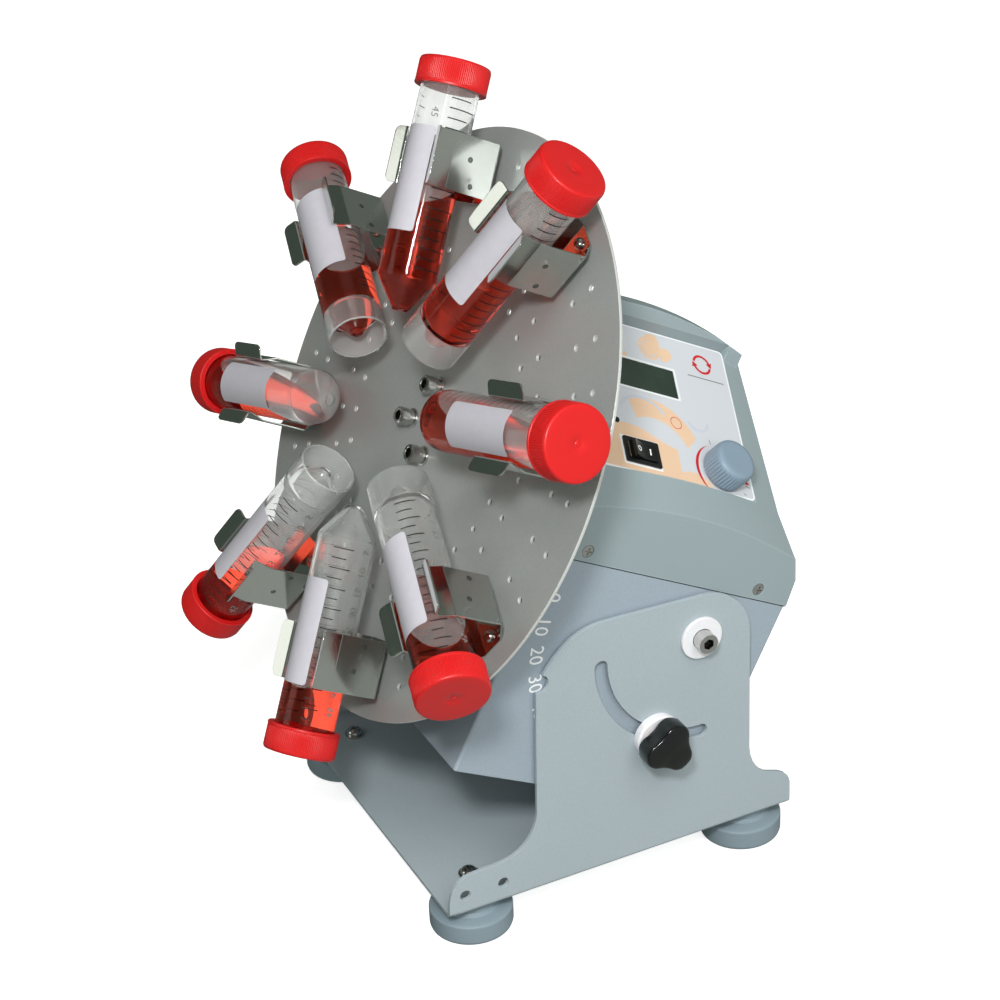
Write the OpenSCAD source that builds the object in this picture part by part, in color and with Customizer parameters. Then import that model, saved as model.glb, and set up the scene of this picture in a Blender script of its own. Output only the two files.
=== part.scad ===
/* [Base frame] */
// Length of the base frame, front to back
base_l = 190; // [190:1:200]
// Width over the two side plates
base_w = 189.6; // [189:0.2:190]
// Sheet thickness of the base frame
base_t = 2; // [1.5:0.1:2]
// Height of the underside of the base plate above the bench
plate_z = 19.9; // [19:0.1:21]
// Radius of the round feet
foot_r = 20.6; // [18:0.1:21]
// Height of the wide part of a foot
foot_h = 12.2; // [10:0.1:13]

/* [Tilt] */
// Tilt of the head as stored; 0 puts the disc upright
tilt = 28; // [0:1:60]
// Tilt pivot, distance behind the middle of the base
piv_x = 43.6; // [43:0.1:45]
// Tilt pivot, height above the bench
piv_z = 134.9; // [134:0.1:136]
// Radius of the arc slot about the pivot
slot_r = 53.6; // [53:0.1:54]
// Width of the arc slot
slot_w = 7; // [6.6:0.1:7.4]

/* [Rotor] */
// Radius of the tube disc
disc_r = 143.4; // [140:0.2:144]
// Thickness of the tube disc
disc_t = 1.5; // [1:0.1:3]
// Angle of the first tube from the top of the disc
phase = 18.2; // [0:0.1:22]
// Radius of the small holes in the disc
hole_r = 1.5; // [1.4:0.05:1.6]
// Height of the tube centre lines above the disc
tube_h = 30.4; // [30:0.1:31]

/* [Tubes] */
// Outside radius of a tube body
tube_r = 14.1; // [13.8:0.1:14.2]
// Outside radius of a standing skirt
skirt_r = 14.45; // [14.2:0.05:14.5]
// Outside radius of a screw cap
cap_r = 17.3; // [16.8:0.1:17.4]
// Height of a screw cap
cap_h = 13; // [12:0.1:13.5]

/* [Head] */
// Half width of the head
head_y = 91.3; // [91:0.1:91.5]
// Slope of the two roof faces from level
roof_a = 35; // [34:0.5:36]
// Wall of the moulded cover
cover_t = 2.6; // [2:0.1:3]
// Radius of the speed knob
knob_r = 11.4; // [10.5:0.1:12]
// Height of the speed knob
knob_h = 12.4; // [11:0.1:14]

/* [Hidden] */
$fn = 64;
e = 0.01;
disc_n = 126;      // disc front face ahead of the pivot
disc_u = 43.5;     // disc centre above the pivot, in the head's own frame
ring_in = [71.5, 85];
ring_out = [112.7, 126.3];
steel = [0.75, 0.76, 0.77];
paint = [0.66, 0.71, 0.73];
paint2 = [0.59, 0.63, 0.69];
abs_grey = [0.55, 0.61, 0.61];

// ---- frames ----
// head frame: origin on the pivot, X to the back, Z up with the disc upright
module head() { translate([piv_x, 0, piv_z]) rotate([0, tilt, 0]) children(); }
// rotor frame: Z out of the disc face, X towards the top of the disc
module rotor() { head() translate([-disc_n, 0, disc_u]) rotate([0, -90, 0]) children(); }
// tube frame: Z out along the tube to its cap, -X away from the disc
module tube_at(k) { rotor() rotate([0, 0, phase - 45 * (k - 1)]) translate([0, 0, tube_h]) rotate([0, 90, 0]) children(); }
module in_y(y0, h) { translate([0, y0 + h, 0]) rotate([90, 0, 0]) linear_extrude(h) children(); }
module ring(ro, ri, h) { difference() { cylinder(r = ro, h = h); translate([0, 0, -1]) cylinder(r = ri, h = h + 2); } }
module socket_head(r, h, hex) { difference() { cylinder(r = r, h = h); translate([0, 0, h * 0.45]) cylinder(r = hex, h = h, $fn = 6); } }

// ---- base ----
// outline of a side plate, X back and Y up
module side_outline() {
  x0 = -base_l / 2; x1 = base_l / 2; z0 = plate_z;
  difference() {
    union() {
      polygon([[x0, z0], [x1, z0], [x1, 33], [94, 36.4], [91.6, 39.2], [88.4, 41.2], [84.4, 42.6], [80.3, 44], [77.6, 46.2],
        [75.2, 49.2], [73.2, 52.8], [71.8, 57], [71.2, 62], [71.2, 130], [43.9, 157.3], [26.3, 158], [0.4, 159.2], [-9.6, 159.5],
        [-14, 159.2], [-17.6, 158.4], [-21.4, 157.2], [-25.1, 155.5], [-30.3, 151.8], [-35.4, 146.9], [-38.8, 142.6],
        [-40.6, 140.2], [-44.4, 136], [-44.3, 131], [-45.2, 107], [-46, 80], [-46.5, 64.4], [-47.2, 60.4], [-48.4, 56.8], [-50, 53.4],
        [-52, 50.4], [-54.6, 47.8], [-57.6, 45.7], [-61, 44.2], [-65, 43.2], [-69.5, 42.6], [-78.5, 42.4], [-83.4, 42], [-86.6, 41.2],
        [-89.4, 39.6], [-92, 36.8], [-93.9, 33], [-94.7, 28.6], [x0, 24]]);
      translate([44, 130.2]) circle(r = 27.2, $fn = 96);
    }
    translate([-42.2, 136]) circle(r = 4.7, $fn = 32);
    translate([piv_x, piv_z]) circle(r = 5.1);
    translate([-86.3, 31]) circle(r = 2.75);
    translate([-66.1, 31]) circle(r = 2.75);
  }
}
module slot_2d() {
  difference() {
    translate([piv_x, piv_z]) intersection() {
      difference() { circle(r = slot_r + slot_w / 2, $fn = 128); circle(r = slot_r - slot_w / 2, $fn = 128); }
      translate([-80, -80]) square(80);
    }
  }
  translate([piv_x - slot_r, piv_z]) circle(r = slot_w / 2, $fn = 32);
  translate([piv_x, piv_z - slot_r]) circle(r = slot_w / 2, $fn = 32);
}
module base_frame() {
  color(paint) difference() {
    union() {
      translate([-base_l / 2, -base_w / 2, plate_z]) cube([base_l, base_w, base_t]);
      in_y(-base_w / 2, base_t) side_outline();
      in_y(base_w / 2 - base_t, base_t) side_outline();
    }
    in_y(-base_w / 2 - 1, base_t + 2) slot_2d();
    in_y(base_w / 2 - base_t - 1, base_t + 2) slot_2d();
    for (x = [-1, 1], y = [-1, 1]) translate([x * 72.7, y * 69.5, plate_z - 1]) cylinder(r = 2.6, h = 4);
  }
}
module feet() {
  color([0.55, 0.61, 0.65]) for (x = [-1, 1], y = [-1, 1]) translate([x * 76.2, y * 79 - y * 1.5, 0]) difference() {
    rotate_extrude($fn = 96) polygon([[0, 0], [18.6, 0], [19.8, 0.6], [foot_r, 2.2], [foot_r, foot_h - 2.4], [foot_r - 0.8, foot_h - 0.8], [foot_r - 2.4, foot_h], [15.4, foot_h + 0.9], [14.2, foot_h + 2], [13.8, plate_z], [0, plate_z]]);
    translate([-x * 3.5, -y * 8, plate_z - 12]) cylinder(r = 2.05, h = 13);
  }
}
module foot_washers() {
  color(steel) for (x = [-1, 1], y = [-1, 1]) translate([x * 72.7, y * 69.5, plate_z + base_t]) ring(5.2, 2.3, 1);
}
module foot_screws() {
  color(steel) for (x = [-1, 1], y = [-1, 1]) translate([x * 72.7, y * 69.5, plate_z + base_t + 1]) {
    difference() {
      rotate_extrude() polygon([[0, 0], [4.1, 0], [4.1, 1], [3.4, 2.1], [2, 2.8], [0, 3]]);
      translate([-2.4, -0.4, 1.2]) cube([4.8, 0.8, 3]);
      translate([-0.4, -2.4, 1.2]) cube([0.8, 4.8, 3]);
    }
    translate([0, 0, -12]) cylinder(r = 2, h = 12 + e);
  }
}

// ---- head shell ----
module chassis() {
  t = 1.5;
  color(paint2) head() difference() {
    union() {
      difference() {
        translate([-99, -head_y, -91]) cube([140.6, 2 * head_y, 114]);
        translate([-99 + t, -head_y + t, -91 + t]) cube([150, 2 * head_y - 2 * t, 130]);
      }
      // tongue that carries the bearings, behind the disc
      translate([-99, -36, 20]) cube([t, 72, 55]);
      // ears for the cover screws
      for (s = [-1, 1], x = [-79.2, 23.8]) scale([1, s, 1]) {
        translate([x - 6, head_y - 10.2, 14]) cube([12, 10, t]);
        translate([x - 6, head_y - 10.2, 14]) cube([12, t, 20]);
      }
    }
    for (s = [-1, 1], x = [-79.2, 23.8]) translate([x, s * (head_y - 9), 28.2]) rotate([90, 0, 0]) cylinder(r = 1.65, h = 6, center = true);
    for (s = [-1, 1]) {
      translate([0, s * head_y, 0]) rotate([90, 0, 0]) cylinder(r = 4.05, h = 8, center = true);
      translate([0, s * head_y, -slot_r]) rotate([90, 0, 0]) cylinder(r = 3.05, h = 8, center = true);
    }
    translate([-130, 0, disc_u]) rotate([0, 90, 0]) cylinder(r = 20, h = 60);
    for (y = [-30, 30], x = [-70, -46]) translate([x, y, -92]) cylinder(r = 2.05, h = 5);
    for (y = [-70, -20], x = [0, 32]) translate([x, y, -92]) cylinder(r = 1.55, h = 5);
  }
}
module rear_panel() {
  color(paint2) head() difference() {
    union() {
      translate([41.6, -head_y + 0.4, -91]) cube([1.5, 2 * head_y - 0.8, 113.4]);
      for (s = [-1, 1]) translate([31.6, s > 0 ? head_y - 3.1 : -head_y + 1.6, -88]) cube([10.1, 1.5, 108]);
    }
    translate([40, 45, -62]) rotate([0, 90, 0]) cylinder(r = 5.55, h = 5);
    for (i = [0:8]) translate([40, -52, -70 + i * 7]) cube([5, 40, 2.6]);
    for (y = [-84, 84], z = [-80, 12]) translate([40, y, z]) rotate([0, 90, 0]) cylinder(r = 1.55, h = 5);
  }
}
module rear_screws() {
  color(steel) head() for (y = [-84, 84], z = [-80, 12]) translate([43.1, y, z]) rotate([0, 90, 0]) {
    difference() {
      rotate_extrude() polygon([[0, 0], [2.8, 0], [2.8, 0.7], [2, 1.6], [0, 2]]);
      translate([-1.7, -0.3, 0.8]) cube([3.4, 0.6, 2]);
      translate([-0.3, -1.7, 0.8]) cube([0.6, 3.4, 2]);
    }
    translate([0, 0, -6]) cylinder(r = 1.5, h = 6 + e);
  }
}
// profile of the cover seen from the side, X back and Y up, grown by g
module cover_side(g) {
  polygon([[-98 - g, 20], [44.3 + g, 20], [44.3 + g, 24], [43 + g, 37], [36.6 + g * 0.8, 48.8 + g * 0.4], [31.5 + g, 62], [26.2 + g, 122 + g], [-90, 126 + g], [-98 - g, 120 + g]]);
}
// solid body under the arched roof faces, grown by g
module cover_body(g) {
  intersection() {
    translate([-120, -head_y - g, 10]) cube([180, 2 * head_y + 2 * g, 130]);
    in_y(-100, 200) cover_side(g);
    roof_half(-1, g);
    roof_half(1, g);
  }
}
// each roof face is the outside of a very long radius running up the slope
module roof_half(s, g) {
  R = 340;
  translate([-30, s * head_y, 55.6]) rotate([-s * roof_a, 0, 0]) translate([0, 0, -R + g]) rotate([90, 0, 0]) cylinder(r = R, h = 320, center = true, $fn = 360);
}
module top_cover() {
  color(abs_grey) head() difference() {
    union() {
      difference() { cover_body(0); cover_body(-cover_t); translate([-130, -130, 0]) cube([260, 260, 23]); }
      // raised arched band along the ridge
      in_y(-5.5, 9.5) intersection() {
        translate([-40, 127.2 - 220]) circle(r = 220, $fn = 480);
        translate([-92, 108]) square([117, 40]);
      }
      // backing under the sunken label
      intersection() { cover_body(-0.4); translate([0, -head_y, 52.3]) rotate([roof_a, 0, 0]) translate([-88, 19, -3.4]) cube([108, 93, 8]); }
      // screw bosses
      for (s = [-1, 1], x = [-79.2, 23.8]) translate([x, s * (head_y - 5), 28.2]) rotate([90, 0, 0]) cylinder(r = 4, h = 7, center = true);
    }
    // sunken label bed
    translate([0, -head_y, 52.3]) rotate([roof_a, 0, 0]) {
      translate([-84.4, 22.2, -0.6]) cube([99.8, 87.2, 20]);
      translate([-62.4, 71.8, -10]) cube([42, 17.2, 20]);
      translate([-63.2, 27, -10]) cube([21.4, 14.4, 20]);
      translate([-4.4, 34.3, -10]) cylinder(r = 3.6, h = 20);
      translate([-63.9, 49.9, -10]) cylinder(r = 1.6, h = 20);
    }
    translate([-110, -36.4, 10]) cube([20, 72.8, 65.4]);
    for (s = [-1, 1], x = [-79.2, 23.8]) translate([x, s * head_y, 28.2]) rotate([90, 0, 0]) cylinder(r = 1.65, h = 40, center = true);
    for (s = [-1, 1], x = [-79.2, 23.8]) translate([x, s * (head_y + 4), 28.2]) rotate([90, 0, 0]) cylinder(r = 3.3, h = 10, center = true);
  }
}
module cover_screws() {
  color(steel) head() for (s = [-1, 1], x = [-79.2, 23.8]) translate([x, s * (head_y - 1), 28.2]) rotate([s > 0 ? -90 : 90, 0, 0]) {
    difference() {
      rotate_extrude() polygon([[0, 0], [3.1, 0], [3.1, 0.8], [2.2, 1.3], [0, 1.5]]);
      translate([-1.9, -0.35, 0.5]) cube([3.8, 0.7, 2]);
      translate([-0.35, -1.9, 0.5]) cube([0.7, 3.8, 2]);
    }
    translate([0, 0, -9]) cylinder(r = 1.6, h = 9 + e);
  }
}
module label_panel() {
  color([0.9, 0.9, 0.91]) head() translate([0, -head_y, 52.3]) rotate([roof_a, 0, 0]) difference() {
    translate([-84.2, 22.4, -0.6]) cube([99.4, 86.8, 0.6]);
    translate([-62.2, 72, -1]) cube([41.6, 16.8, 2]);
    translate([-63, 27.2, -1]) cube([21, 14, 2]);
    translate([-4.4, 34.3, -1]) cylinder(r = 3.6, h = 3);
    translate([-63.9, 49.9, -1]) cylinder(r = 1.6, h = 3);
  }
}

// ---- tilt pivot and clamp ----
module pivot_screws() {
  color(steel) head() for (s = [-1, 1]) scale([1, s, 1]) {
    // shoulder through the side plate, cap head outside, thread inside
    translate([0, base_w / 2 + 2.1, 0]) rotate([-90, 0, 0]) socket_head(5, 6, 2.9);
    translate([0, base_w / 2 + 2.1 + e, 0]) rotate([90, 0, 0]) cylinder(r = 5.04, h = 4.2);
    translate([0, base_w / 2 - 2 + e, 0]) rotate([90, 0, 0]) cylinder(r = 4, h = 14);
  }
}
module pivot_washers() {
  color([0.93, 0.93, 0.94]) head() for (s = [-1, 1]) scale([1, s, 1]) translate([0, base_w / 2 + 0.05, 0]) rotate([-90, 0, 0]) ring(10.9, 5.1, 2);
}
module pivot_spacers() {
  color([0.93, 0.93, 0.94]) head() for (s = [-1, 1]) scale([1, s, 1]) translate([0, head_y + 0.02, 0]) rotate([-90, 0, 0]) ring(12, 5.1, base_w / 2 - base_t - head_y - 0.1);
}
module pivot_nuts() {
  color(steel) head() for (s = [-1, 1]) scale([1, s, 1]) translate([0, head_y - 1.5 - 6.5, 0]) rotate([-90, 0, 0]) difference() {
    cylinder(r = 7.5, h = 6.5, $fn = 6); translate([0, 0, -1]) cylinder(r = 4.02, h = 9);
  }
}
module clamp_studs() {
  color(steel) head() {
    translate([0, -head_y + 8, -slot_r]) rotate([90, 0, 0]) cylinder(r = 3, h = 26.4);
    translate([0, head_y - 8, -slot_r]) rotate([-90, 0, 0]) { cylinder(r = 3, h = 12.5); }
  }
}
module clamp_washers() {
  color([0.93, 0.93, 0.94]) head() {
    translate([0, -base_w / 2 - 0.05, -slot_r]) rotate([90, 0, 0]) difference() {
      rotate_extrude($fn = 96) polygon([[0, 0], [12, 0], [12, 3.8], [11.2, 4.6], [0, 4.6]]);
      translate([0, 0, -1]) cylinder(r = 3.05, h = 8);
    }
  }
}
module clamp_nut() {
  color(steel) head() for (s = [-1, 1]) scale([1, s, 1]) translate([0, head_y - 1.5 - 5, -slot_r]) rotate([-90, 0, 0]) difference() {
    cylinder(r = 5.8, h = 5, $fn = 6); translate([0, 0, -1]) cylinder(r = 3.02, h = 7);
  }
}
module clamp_knob() {
  color([0.06, 0.06, 0.07]) head() translate([0, -base_w / 2 - 4.9, -slot_r]) rotate([90, 0, 0]) difference() {
    union() {
      cylinder(r = 6.5, h = 4);
      translate([0, 0, 2]) linear_extrude(10.2) intersection() {
        circle(r = 13.4, $fn = 96);
        difference() {
          circle(r = 14);
          for (i = [0:2]) rotate(35 + 120 * i) translate([35, 0]) circle(r = 25.3, $fn = 192);
        }
      }
      translate([0, 0, 12.2 - e]) cylinder(r = 7, h = 0.8);
    }
    translate([0, 0, -1]) cylinder(r = 3.06, h = 11.5);
  }
}

// ---- controls ----
module lcd_window() {
  color([0.1, 0.15, 0.12]) head() translate([0, -head_y, 52.3]) rotate([roof_a, 0, 0]) translate([-62.1, 72.1, -1.6]) cube([41.4, 16.6, 1.5]);
}
module display_module() {
  color([0.1, 0.3, 0.16]) head() translate([0, -head_y, 52.3]) rotate([roof_a, 0, 0]) {
    translate([-61.8, 72.4, -5.2]) cube([40.8, 16, 3.5]);
    translate([-68, 64, -6.9]) cube([53, 34, 1.7]);
  }
}
module switch_housing() {
  color([0.05, 0.05, 0.06]) head() translate([0, -head_y, 52.3]) rotate([roof_a, 0, 0]) difference() {
    union() {
      translate([-63, 27.2, 0.02]) cube([21, 14, 1.6]);
      translate([-61.6, 28.6, -16]) cube([18.2, 11.2, 16.1]);
    }
    translate([-60.4, 29.4, -5]) cube([15.8, 9.6, 12]);
  }
}
module rocker() {
  // rocks about an axle across the short way of its frame
  color([0.07, 0.07, 0.08]) head() translate([0, -head_y, 52.3]) rotate([roof_a, 0, 0]) translate([-52.5, 34.2, 0]) rotate([90, 0, 0]) translate([0, 0, -4.5])
    linear_extrude(9) rotate(-9) difference() {
      polygon([[-7, -0.8], [-7.2, 2.9], [-6.6, 3.3], [0, 2], [6.6, 3.3], [7.2, 2.9], [7, -0.8], [2.5, -3.6], [-2.5, -3.6]]);
    }
}
module status_led() {
  color([0.05, 0.05, 0.06]) head() translate([0, -head_y, 52.3]) rotate([roof_a, 0, 0]) translate([-63.9, 49.9, -6]) rotate_extrude($fn = 32) polygon([[0, 0], [1.5, 0], [1.5, 6], [1.1, 6.7], [0.5, 7], [0, 7.05]]);
}
module encoder() {
  color([0.3, 0.32, 0.33]) head() translate([0, -head_y, 52.3]) rotate([roof_a, 0, 0]) translate([-4.4, 34.3, 0]) difference() {
    union() {
      translate([-6, -6.5, -10.5]) cube([12, 13, 7]);
      translate([0, 0, -4]) cylinder(r = 3.5, h = 4.8);
    }
    translate([0, 0, -9]) cylinder(r = 3.05, h = 12);
  }
}
module encoder_shaft() {
  color(steel) head() translate([0, -head_y, 52.3]) rotate([roof_a, 0, 0]) translate([-4.4, 34.3, -8]) cylinder(r = 3, h = 17);
}
module speed_knob() {
  color([0.48, 0.56, 0.62]) head() translate([0, -head_y, 52.3]) rotate([roof_a, 0, 0]) translate([-4.4, 34.3, 1.2]) difference() {
    union() {
      rotate_extrude($fn = 96) polygon([[0, 0], [knob_r - 0.6, 0], [knob_r - 0.6, knob_h - 2], [knob_r - 1.2, knob_h - 0.6], [knob_r - 2.6, knob_h], [0, knob_h]]);
      for (i = [0:35]) rotate(10 * i) translate([knob_r - 0.65, 0, 0.4]) cylinder(r = 0.6, h = knob_h - 2.8, $fn = 16);
    }
    translate([0, 0, -1]) cylinder(r = 3.04, h = 9);
    translate([0, 0, -1]) cylinder(r = 5, h = 2.2);
  }
}
module control_board() {
  color([0.08, 0.33, 0.18]) head() {
    translate([-6, -76, -80]) cube([44, 62, 1.6]);
    translate([2, -60, -78.4 - e]) cube([12, 12, 2]);
    translate([22, -66, -78.4 - e]) cube([9, 16, 8]);
    for (y = [-43, -33]) translate([8, y, -78.4 - e]) cylinder(r = 4, h = 12);
    translate([22, -40, -78.4 - e]) cube([10, 14, 5]);
  }
}
module board_posts() {
  color(steel) head() for (y = [-70, -20], x = [0, 32]) translate([x, y, -89.5]) cylinder(r = 2.6, h = 9.5);
}
module power_jack() {
  color([0.05, 0.05, 0.06]) head() translate([41.6, 45, -62]) rotate([0, 90, 0]) difference() {
    union() { translate([0, 0, -14]) cylinder(r = 5.5, h = 17); translate([0, 0, 1.5]) cylinder(r = 7, h = 1.8); }
    difference() { translate([0, 0, -8]) cylinder(r = 2.75, h = 14); translate([0, 0, -9]) cylinder(r = 1, h = 10); }
  }
}

// ---- drive ----
module motor_bracket() {
  color(steel) head() difference() {
    union() {
      translate([-60.5, -34, -89.5]) cube([2.5, 68, 162]);
      translate([-80, -34, -89.5]) cube([50, 68, 2.5]);
      for (y = [-34, 32]) translate([-60.5, y, -89.5]) cube([26, 2, 70]);
    }
    translate([-70, 0, disc_u]) rotate([0, 90, 0]) cylinder(r = 12, h = 30);
    for (a = [45:90:359]) translate([-70, 0, disc_u]) rotate([a, 0, 0]) translate([0, 0, 24]) rotate([0, 90, 0]) cylinder(r = 2.05, h = 30);
    for (y = [-30, 30], x = [-70, -46]) translate([x, y, -90]) cylinder(r = 2.05, h = 5);
  }
}
module bracket_screws() {
  color(steel) head() for (y = [-30, 30], x = [-70, -46]) translate([x, y, -91]) rotate([180, 0, 0]) {
    difference() { rotate_extrude() polygon([[0, 0], [3.6, 0], [3.6, 0.9], [2.4, 1.9], [0, 2.2]]); translate([-2.2, -0.4, 1]) cube([4.4, 0.8, 2]); translate([-0.4, -2.2, 1]) cube([0.8, 4.4, 2]); }
    translate([0, 0, -7]) cylinder(r = 2, h = 7 + e);
  }
}
module gearbox() {
  color([0.6, 0.6, 0.62]) head() translate([-58, 0, disc_u]) rotate([0, 90, 0]) difference() {
    union() { cylinder(r = 30, h = 30); translate([0, 0, 30 - e]) cylinder(r = 19, h = 5); }
    for (a = [45:90:359]) rotate(a) translate([24, 0, -1]) cylinder(r = 2.02, h = 12);
    translate([0, 0, -1]) cylinder(r = 4.06, h = 16);
  }
}
module motor() {
  color([0.35, 0.36, 0.38]) head() translate([-22.98, 0, disc_u]) rotate([0, 90, 0]) { cylinder(r = 18.5, h = 44); translate([0, 0, 44]) cylinder(r = 6, h = 3); }
}
module motor_screws() {
  color(steel) head() for (a = [45:90:359]) translate([-60.5, 0, disc_u]) rotate([a, 0, 0]) translate([0, 0, 24]) rotate([0, -90, 0]) { socket_head(3.5, 4, 1.7); translate([0, 0, -10]) cylinder(r = 2, h = 10 + e); }
}
module bearing_housing() {
  color([0.62, 0.63, 0.65]) head() translate([-97.4, 0, disc_u]) rotate([0, 90, 0]) difference() {
    union() { cylinder(r = 28, h = 4); translate([0, 0, -1.5]) cylinder(r = 19.9, h = 20); }
    translate([0, 0, -3]) cylinder(r = 14.03, h = 30);
  }
}
module shaft_bearings() {
  color(steel) head() for (x = [-98.8, -87]) translate([x, 0, disc_u]) rotate([0, 90, 0]) difference() { cylinder(r = 14, h = 8); translate([0, 0, -1]) cylinder(r = 6.04, h = 10); translate([0, 0, 7.2]) ring(11.2, 8.2, 2); translate([0, 0, -1.2]) ring(11.2, 8.2, 2); }
}
module drive_shaft() {
  color(steel) rotor() translate([0, 0, -52]) cylinder(r = 6, h = 52 - disc_t);
}
module shaft_coupling() {
  color([0.7, 0.7, 0.72]) rotor() difference() {
    union() { translate([0, 0, -58]) cylinder(r = 10.5, h = 10.4); translate([0, 0, -78]) cylinder(r = 4, h = 20.5); }
    translate([0, 0, -52.02]) cylinder(r = 6.03, h = 12);
  }
}
module disc_hub() {
  color([0.7, 0.71, 0.73]) rotor() difference() {
    union() { translate([0, 0, -disc_t - 7]) cylinder(r = 26, h = 7, $fn = 96); translate([0, 0, -disc_t - 18]) cylinder(r = 13, h = 12); }
    translate([0, 0, -30]) cylinder(r = 6.02, h = 40);
    for (i = [0:3]) rotate(phase + 90 * i) translate([16.7, 0, -20]) cylinder(r = 2.5, h = 30);
  }
}
module disc() {
  color([0.49, 0.51, 0.5]) rotor() difference() {
    translate([0, 0, -disc_t]) cylinder(r = disc_r, h = disc_t, $fn = 256);
    for (r = ring_in, i = [0:27]) rotate(phase + i * 360 / 28) translate([r, 0, -5]) cylinder(r = hole_r, h = 10, $fn = 24);
    for (r = ring_out, i = [0:31]) rotate(phase + i * 11.25) translate([r, 0, -5]) cylinder(r = hole_r, h = 10, $fn = 24);
    for (i = [0:3]) rotate(phase + 90 * i) translate([16.7, 0, -5]) cylinder(r = 2.55, h = 10);
  }
}
module hub_washers() {
  color(steel) rotor() for (i = [0:3]) rotate(phase + 90 * i) translate([16.7, 0, 0]) { ring(4.9, 2.55, 1); translate([0, 0, 1]) ring(3.9, 2.55, 2.9); }
}
module hub_screws() {
  color(steel) rotor() for (i = [0:3]) rotate(phase + 90 * i) translate([16.7, 0, 3.9]) { socket_head(4.25, 5, 2.2); translate([0, 0, -18]) cylinder(r = 2.45, h = 18 + e); }
}
// half profile of a spring clip, X across the tube and Y away from the disc
clip_t = 0.8;
module bar(a, b) { d = b - a; l = norm(d); translate(a) rotate(atan2(d[1], d[0])) translate([-0.2, -clip_t / 2]) square([l + 0.4, clip_t]); }
module clip_profile() {
  for (s = [0, 1]) mirror([s, 0]) {
    translate([-0.01, 0]) square([6.2, clip_t]);
    bar([6, 0.4], [15.9, 6.5]);
    bar([15.9, 6.5], [15.9, 31]);
    bar([15.9, 31], [12.9, 39.8]);
  }
}
module clip() {
  difference() {
    union() {
      rotate([90, 0, 90]) translate([0, 0, 105.5]) linear_extrude(27) clip_profile();
      // flared finger tabs with round corners
      for (s = [0, 1]) mirror([0, s, 0]) translate([105.5, 12.9, 39.8]) rotate([20, 0, 0]) translate([0, -0.2, -clip_t / 2]) linear_extrude(clip_t) {
        square([27, 5]);
        translate([3, 0]) square([21, 8]);
        translate([3, 5]) circle(r = 3);
        translate([24, 5]) circle(r = 3);
      }
    }
    for (r = ring_out) translate([r, 0, -1]) cylinder(r = 1.55, h = 4, $fn = 24);
  }
}
module tube_clips() { color([0.72, 0.73, 0.7]) rotor() for (k = [0:7]) rotate(phase + 45 * k) clip(); }
module clip_screws() {
  color(steel) rotor() for (k = [0:7], r = ring_out) rotate(phase + 45 * k) translate([r, 0, clip_t]) {
    difference() { rotate_extrude($fn = 32) polygon([[0, 0], [2.8, 0], [2.8, 0.8], [2.1, 1.7], [0, 2.1]]); translate([-1.7, -0.35, 1]) cube([3.4, 0.7, 2]); translate([-0.35, -1.7, 1]) cube([0.7, 3.4, 2]); }
    translate([0, 0, -4.4]) cylinder(r = 1.45, h = 4.4 + e, $fn = 24);
  }
}

// ---- tubes: Z is outward from the disc centre ----
// z0 is the inner end, z1 the outer face of the cap
module cone_tube(z0, z1) {
  rim = z1 - 1.6;
  difference() {
    rotate_extrude($fn = 96) polygon([[0, z0], [3.2, z0], [4, z0 + 0.9], [tube_r - 0.3, z0 + 15], [tube_r, z0 + 16.4], [tube_r, rim], [0, rim]]);
    rotate_extrude($fn = 96) polygon([[0, z0 + 1.5], [2.6, z0 + 1.7], [tube_r - 1.4, z0 + 15.6], [tube_r - 1.2, z0 + 17], [tube_r - 1.2, rim + 1], [0, rim + 1]]);
  }
}
module skirt_tube(z0, z1) {
  rim = z1 - 1.6; c = z0 + 2.4;
  difference() {
    rotate_extrude($fn = 96) polygon([[13.35, z0], [skirt_r, z0], [skirt_r, z0 + 14], [tube_r, z0 + 19], [tube_r, rim], [tube_r - 1.2, rim], [tube_r - 1.2, z0 + 17.8], [1.8, c + 2], [0, c + 1.8], [0, c], [2.4, c], [3.4, c + 1.2], [12.2, z0 + 15.4], [13.35, z0 + 15.4]]);
  }
}
module cap(z1) {
  difference() {
    union() {
      rotate_extrude($fn = 120) polygon([[0, z1 - cap_h], [cap_r - 0.35, z1 - cap_h], [cap_r - 0.35, z1 - 2.6], [cap_r - 0.7, z1 - 1.2], [cap_r - 1.6, z1 - 0.3], [cap_r - 2.8, z1], [0, z1]]);
      translate([0, 0, z1 - cap_h]) cylinder(r = cap_r - 0.15, h = 1.4, $fn = 120);
    }
    translate([0, 0, z1 - cap_h - 1]) cylinder(r = tube_r + 0.06, h = cap_h - 0.5, $fn = 96);
  }
}
// [style, inner end, cap face] of each tube; style 1 stands on a skirt
T = [[0, 46.4, 165.2], [1, 45.6, 164.4], [0, 46.2, 165], [1, 46.6, 165.4], [0, 46.4, 165.2], [1, 45.2, 164], [0, 45.2, 164], [1, 44.8, 163.6]];
module one_tube(k) { t = T[k - 1]; color([0.85, 0.87, 0.87, 0.5]) tube_at(k) if (t[0] == 1) skirt_tube(t[1], t[2]); else cone_tube(t[1], t[2]); }
module one_cap(k) { color([0.84, 0.13, 0.12]) tube_at(k) cap(T[k - 1][2]); }

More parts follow.
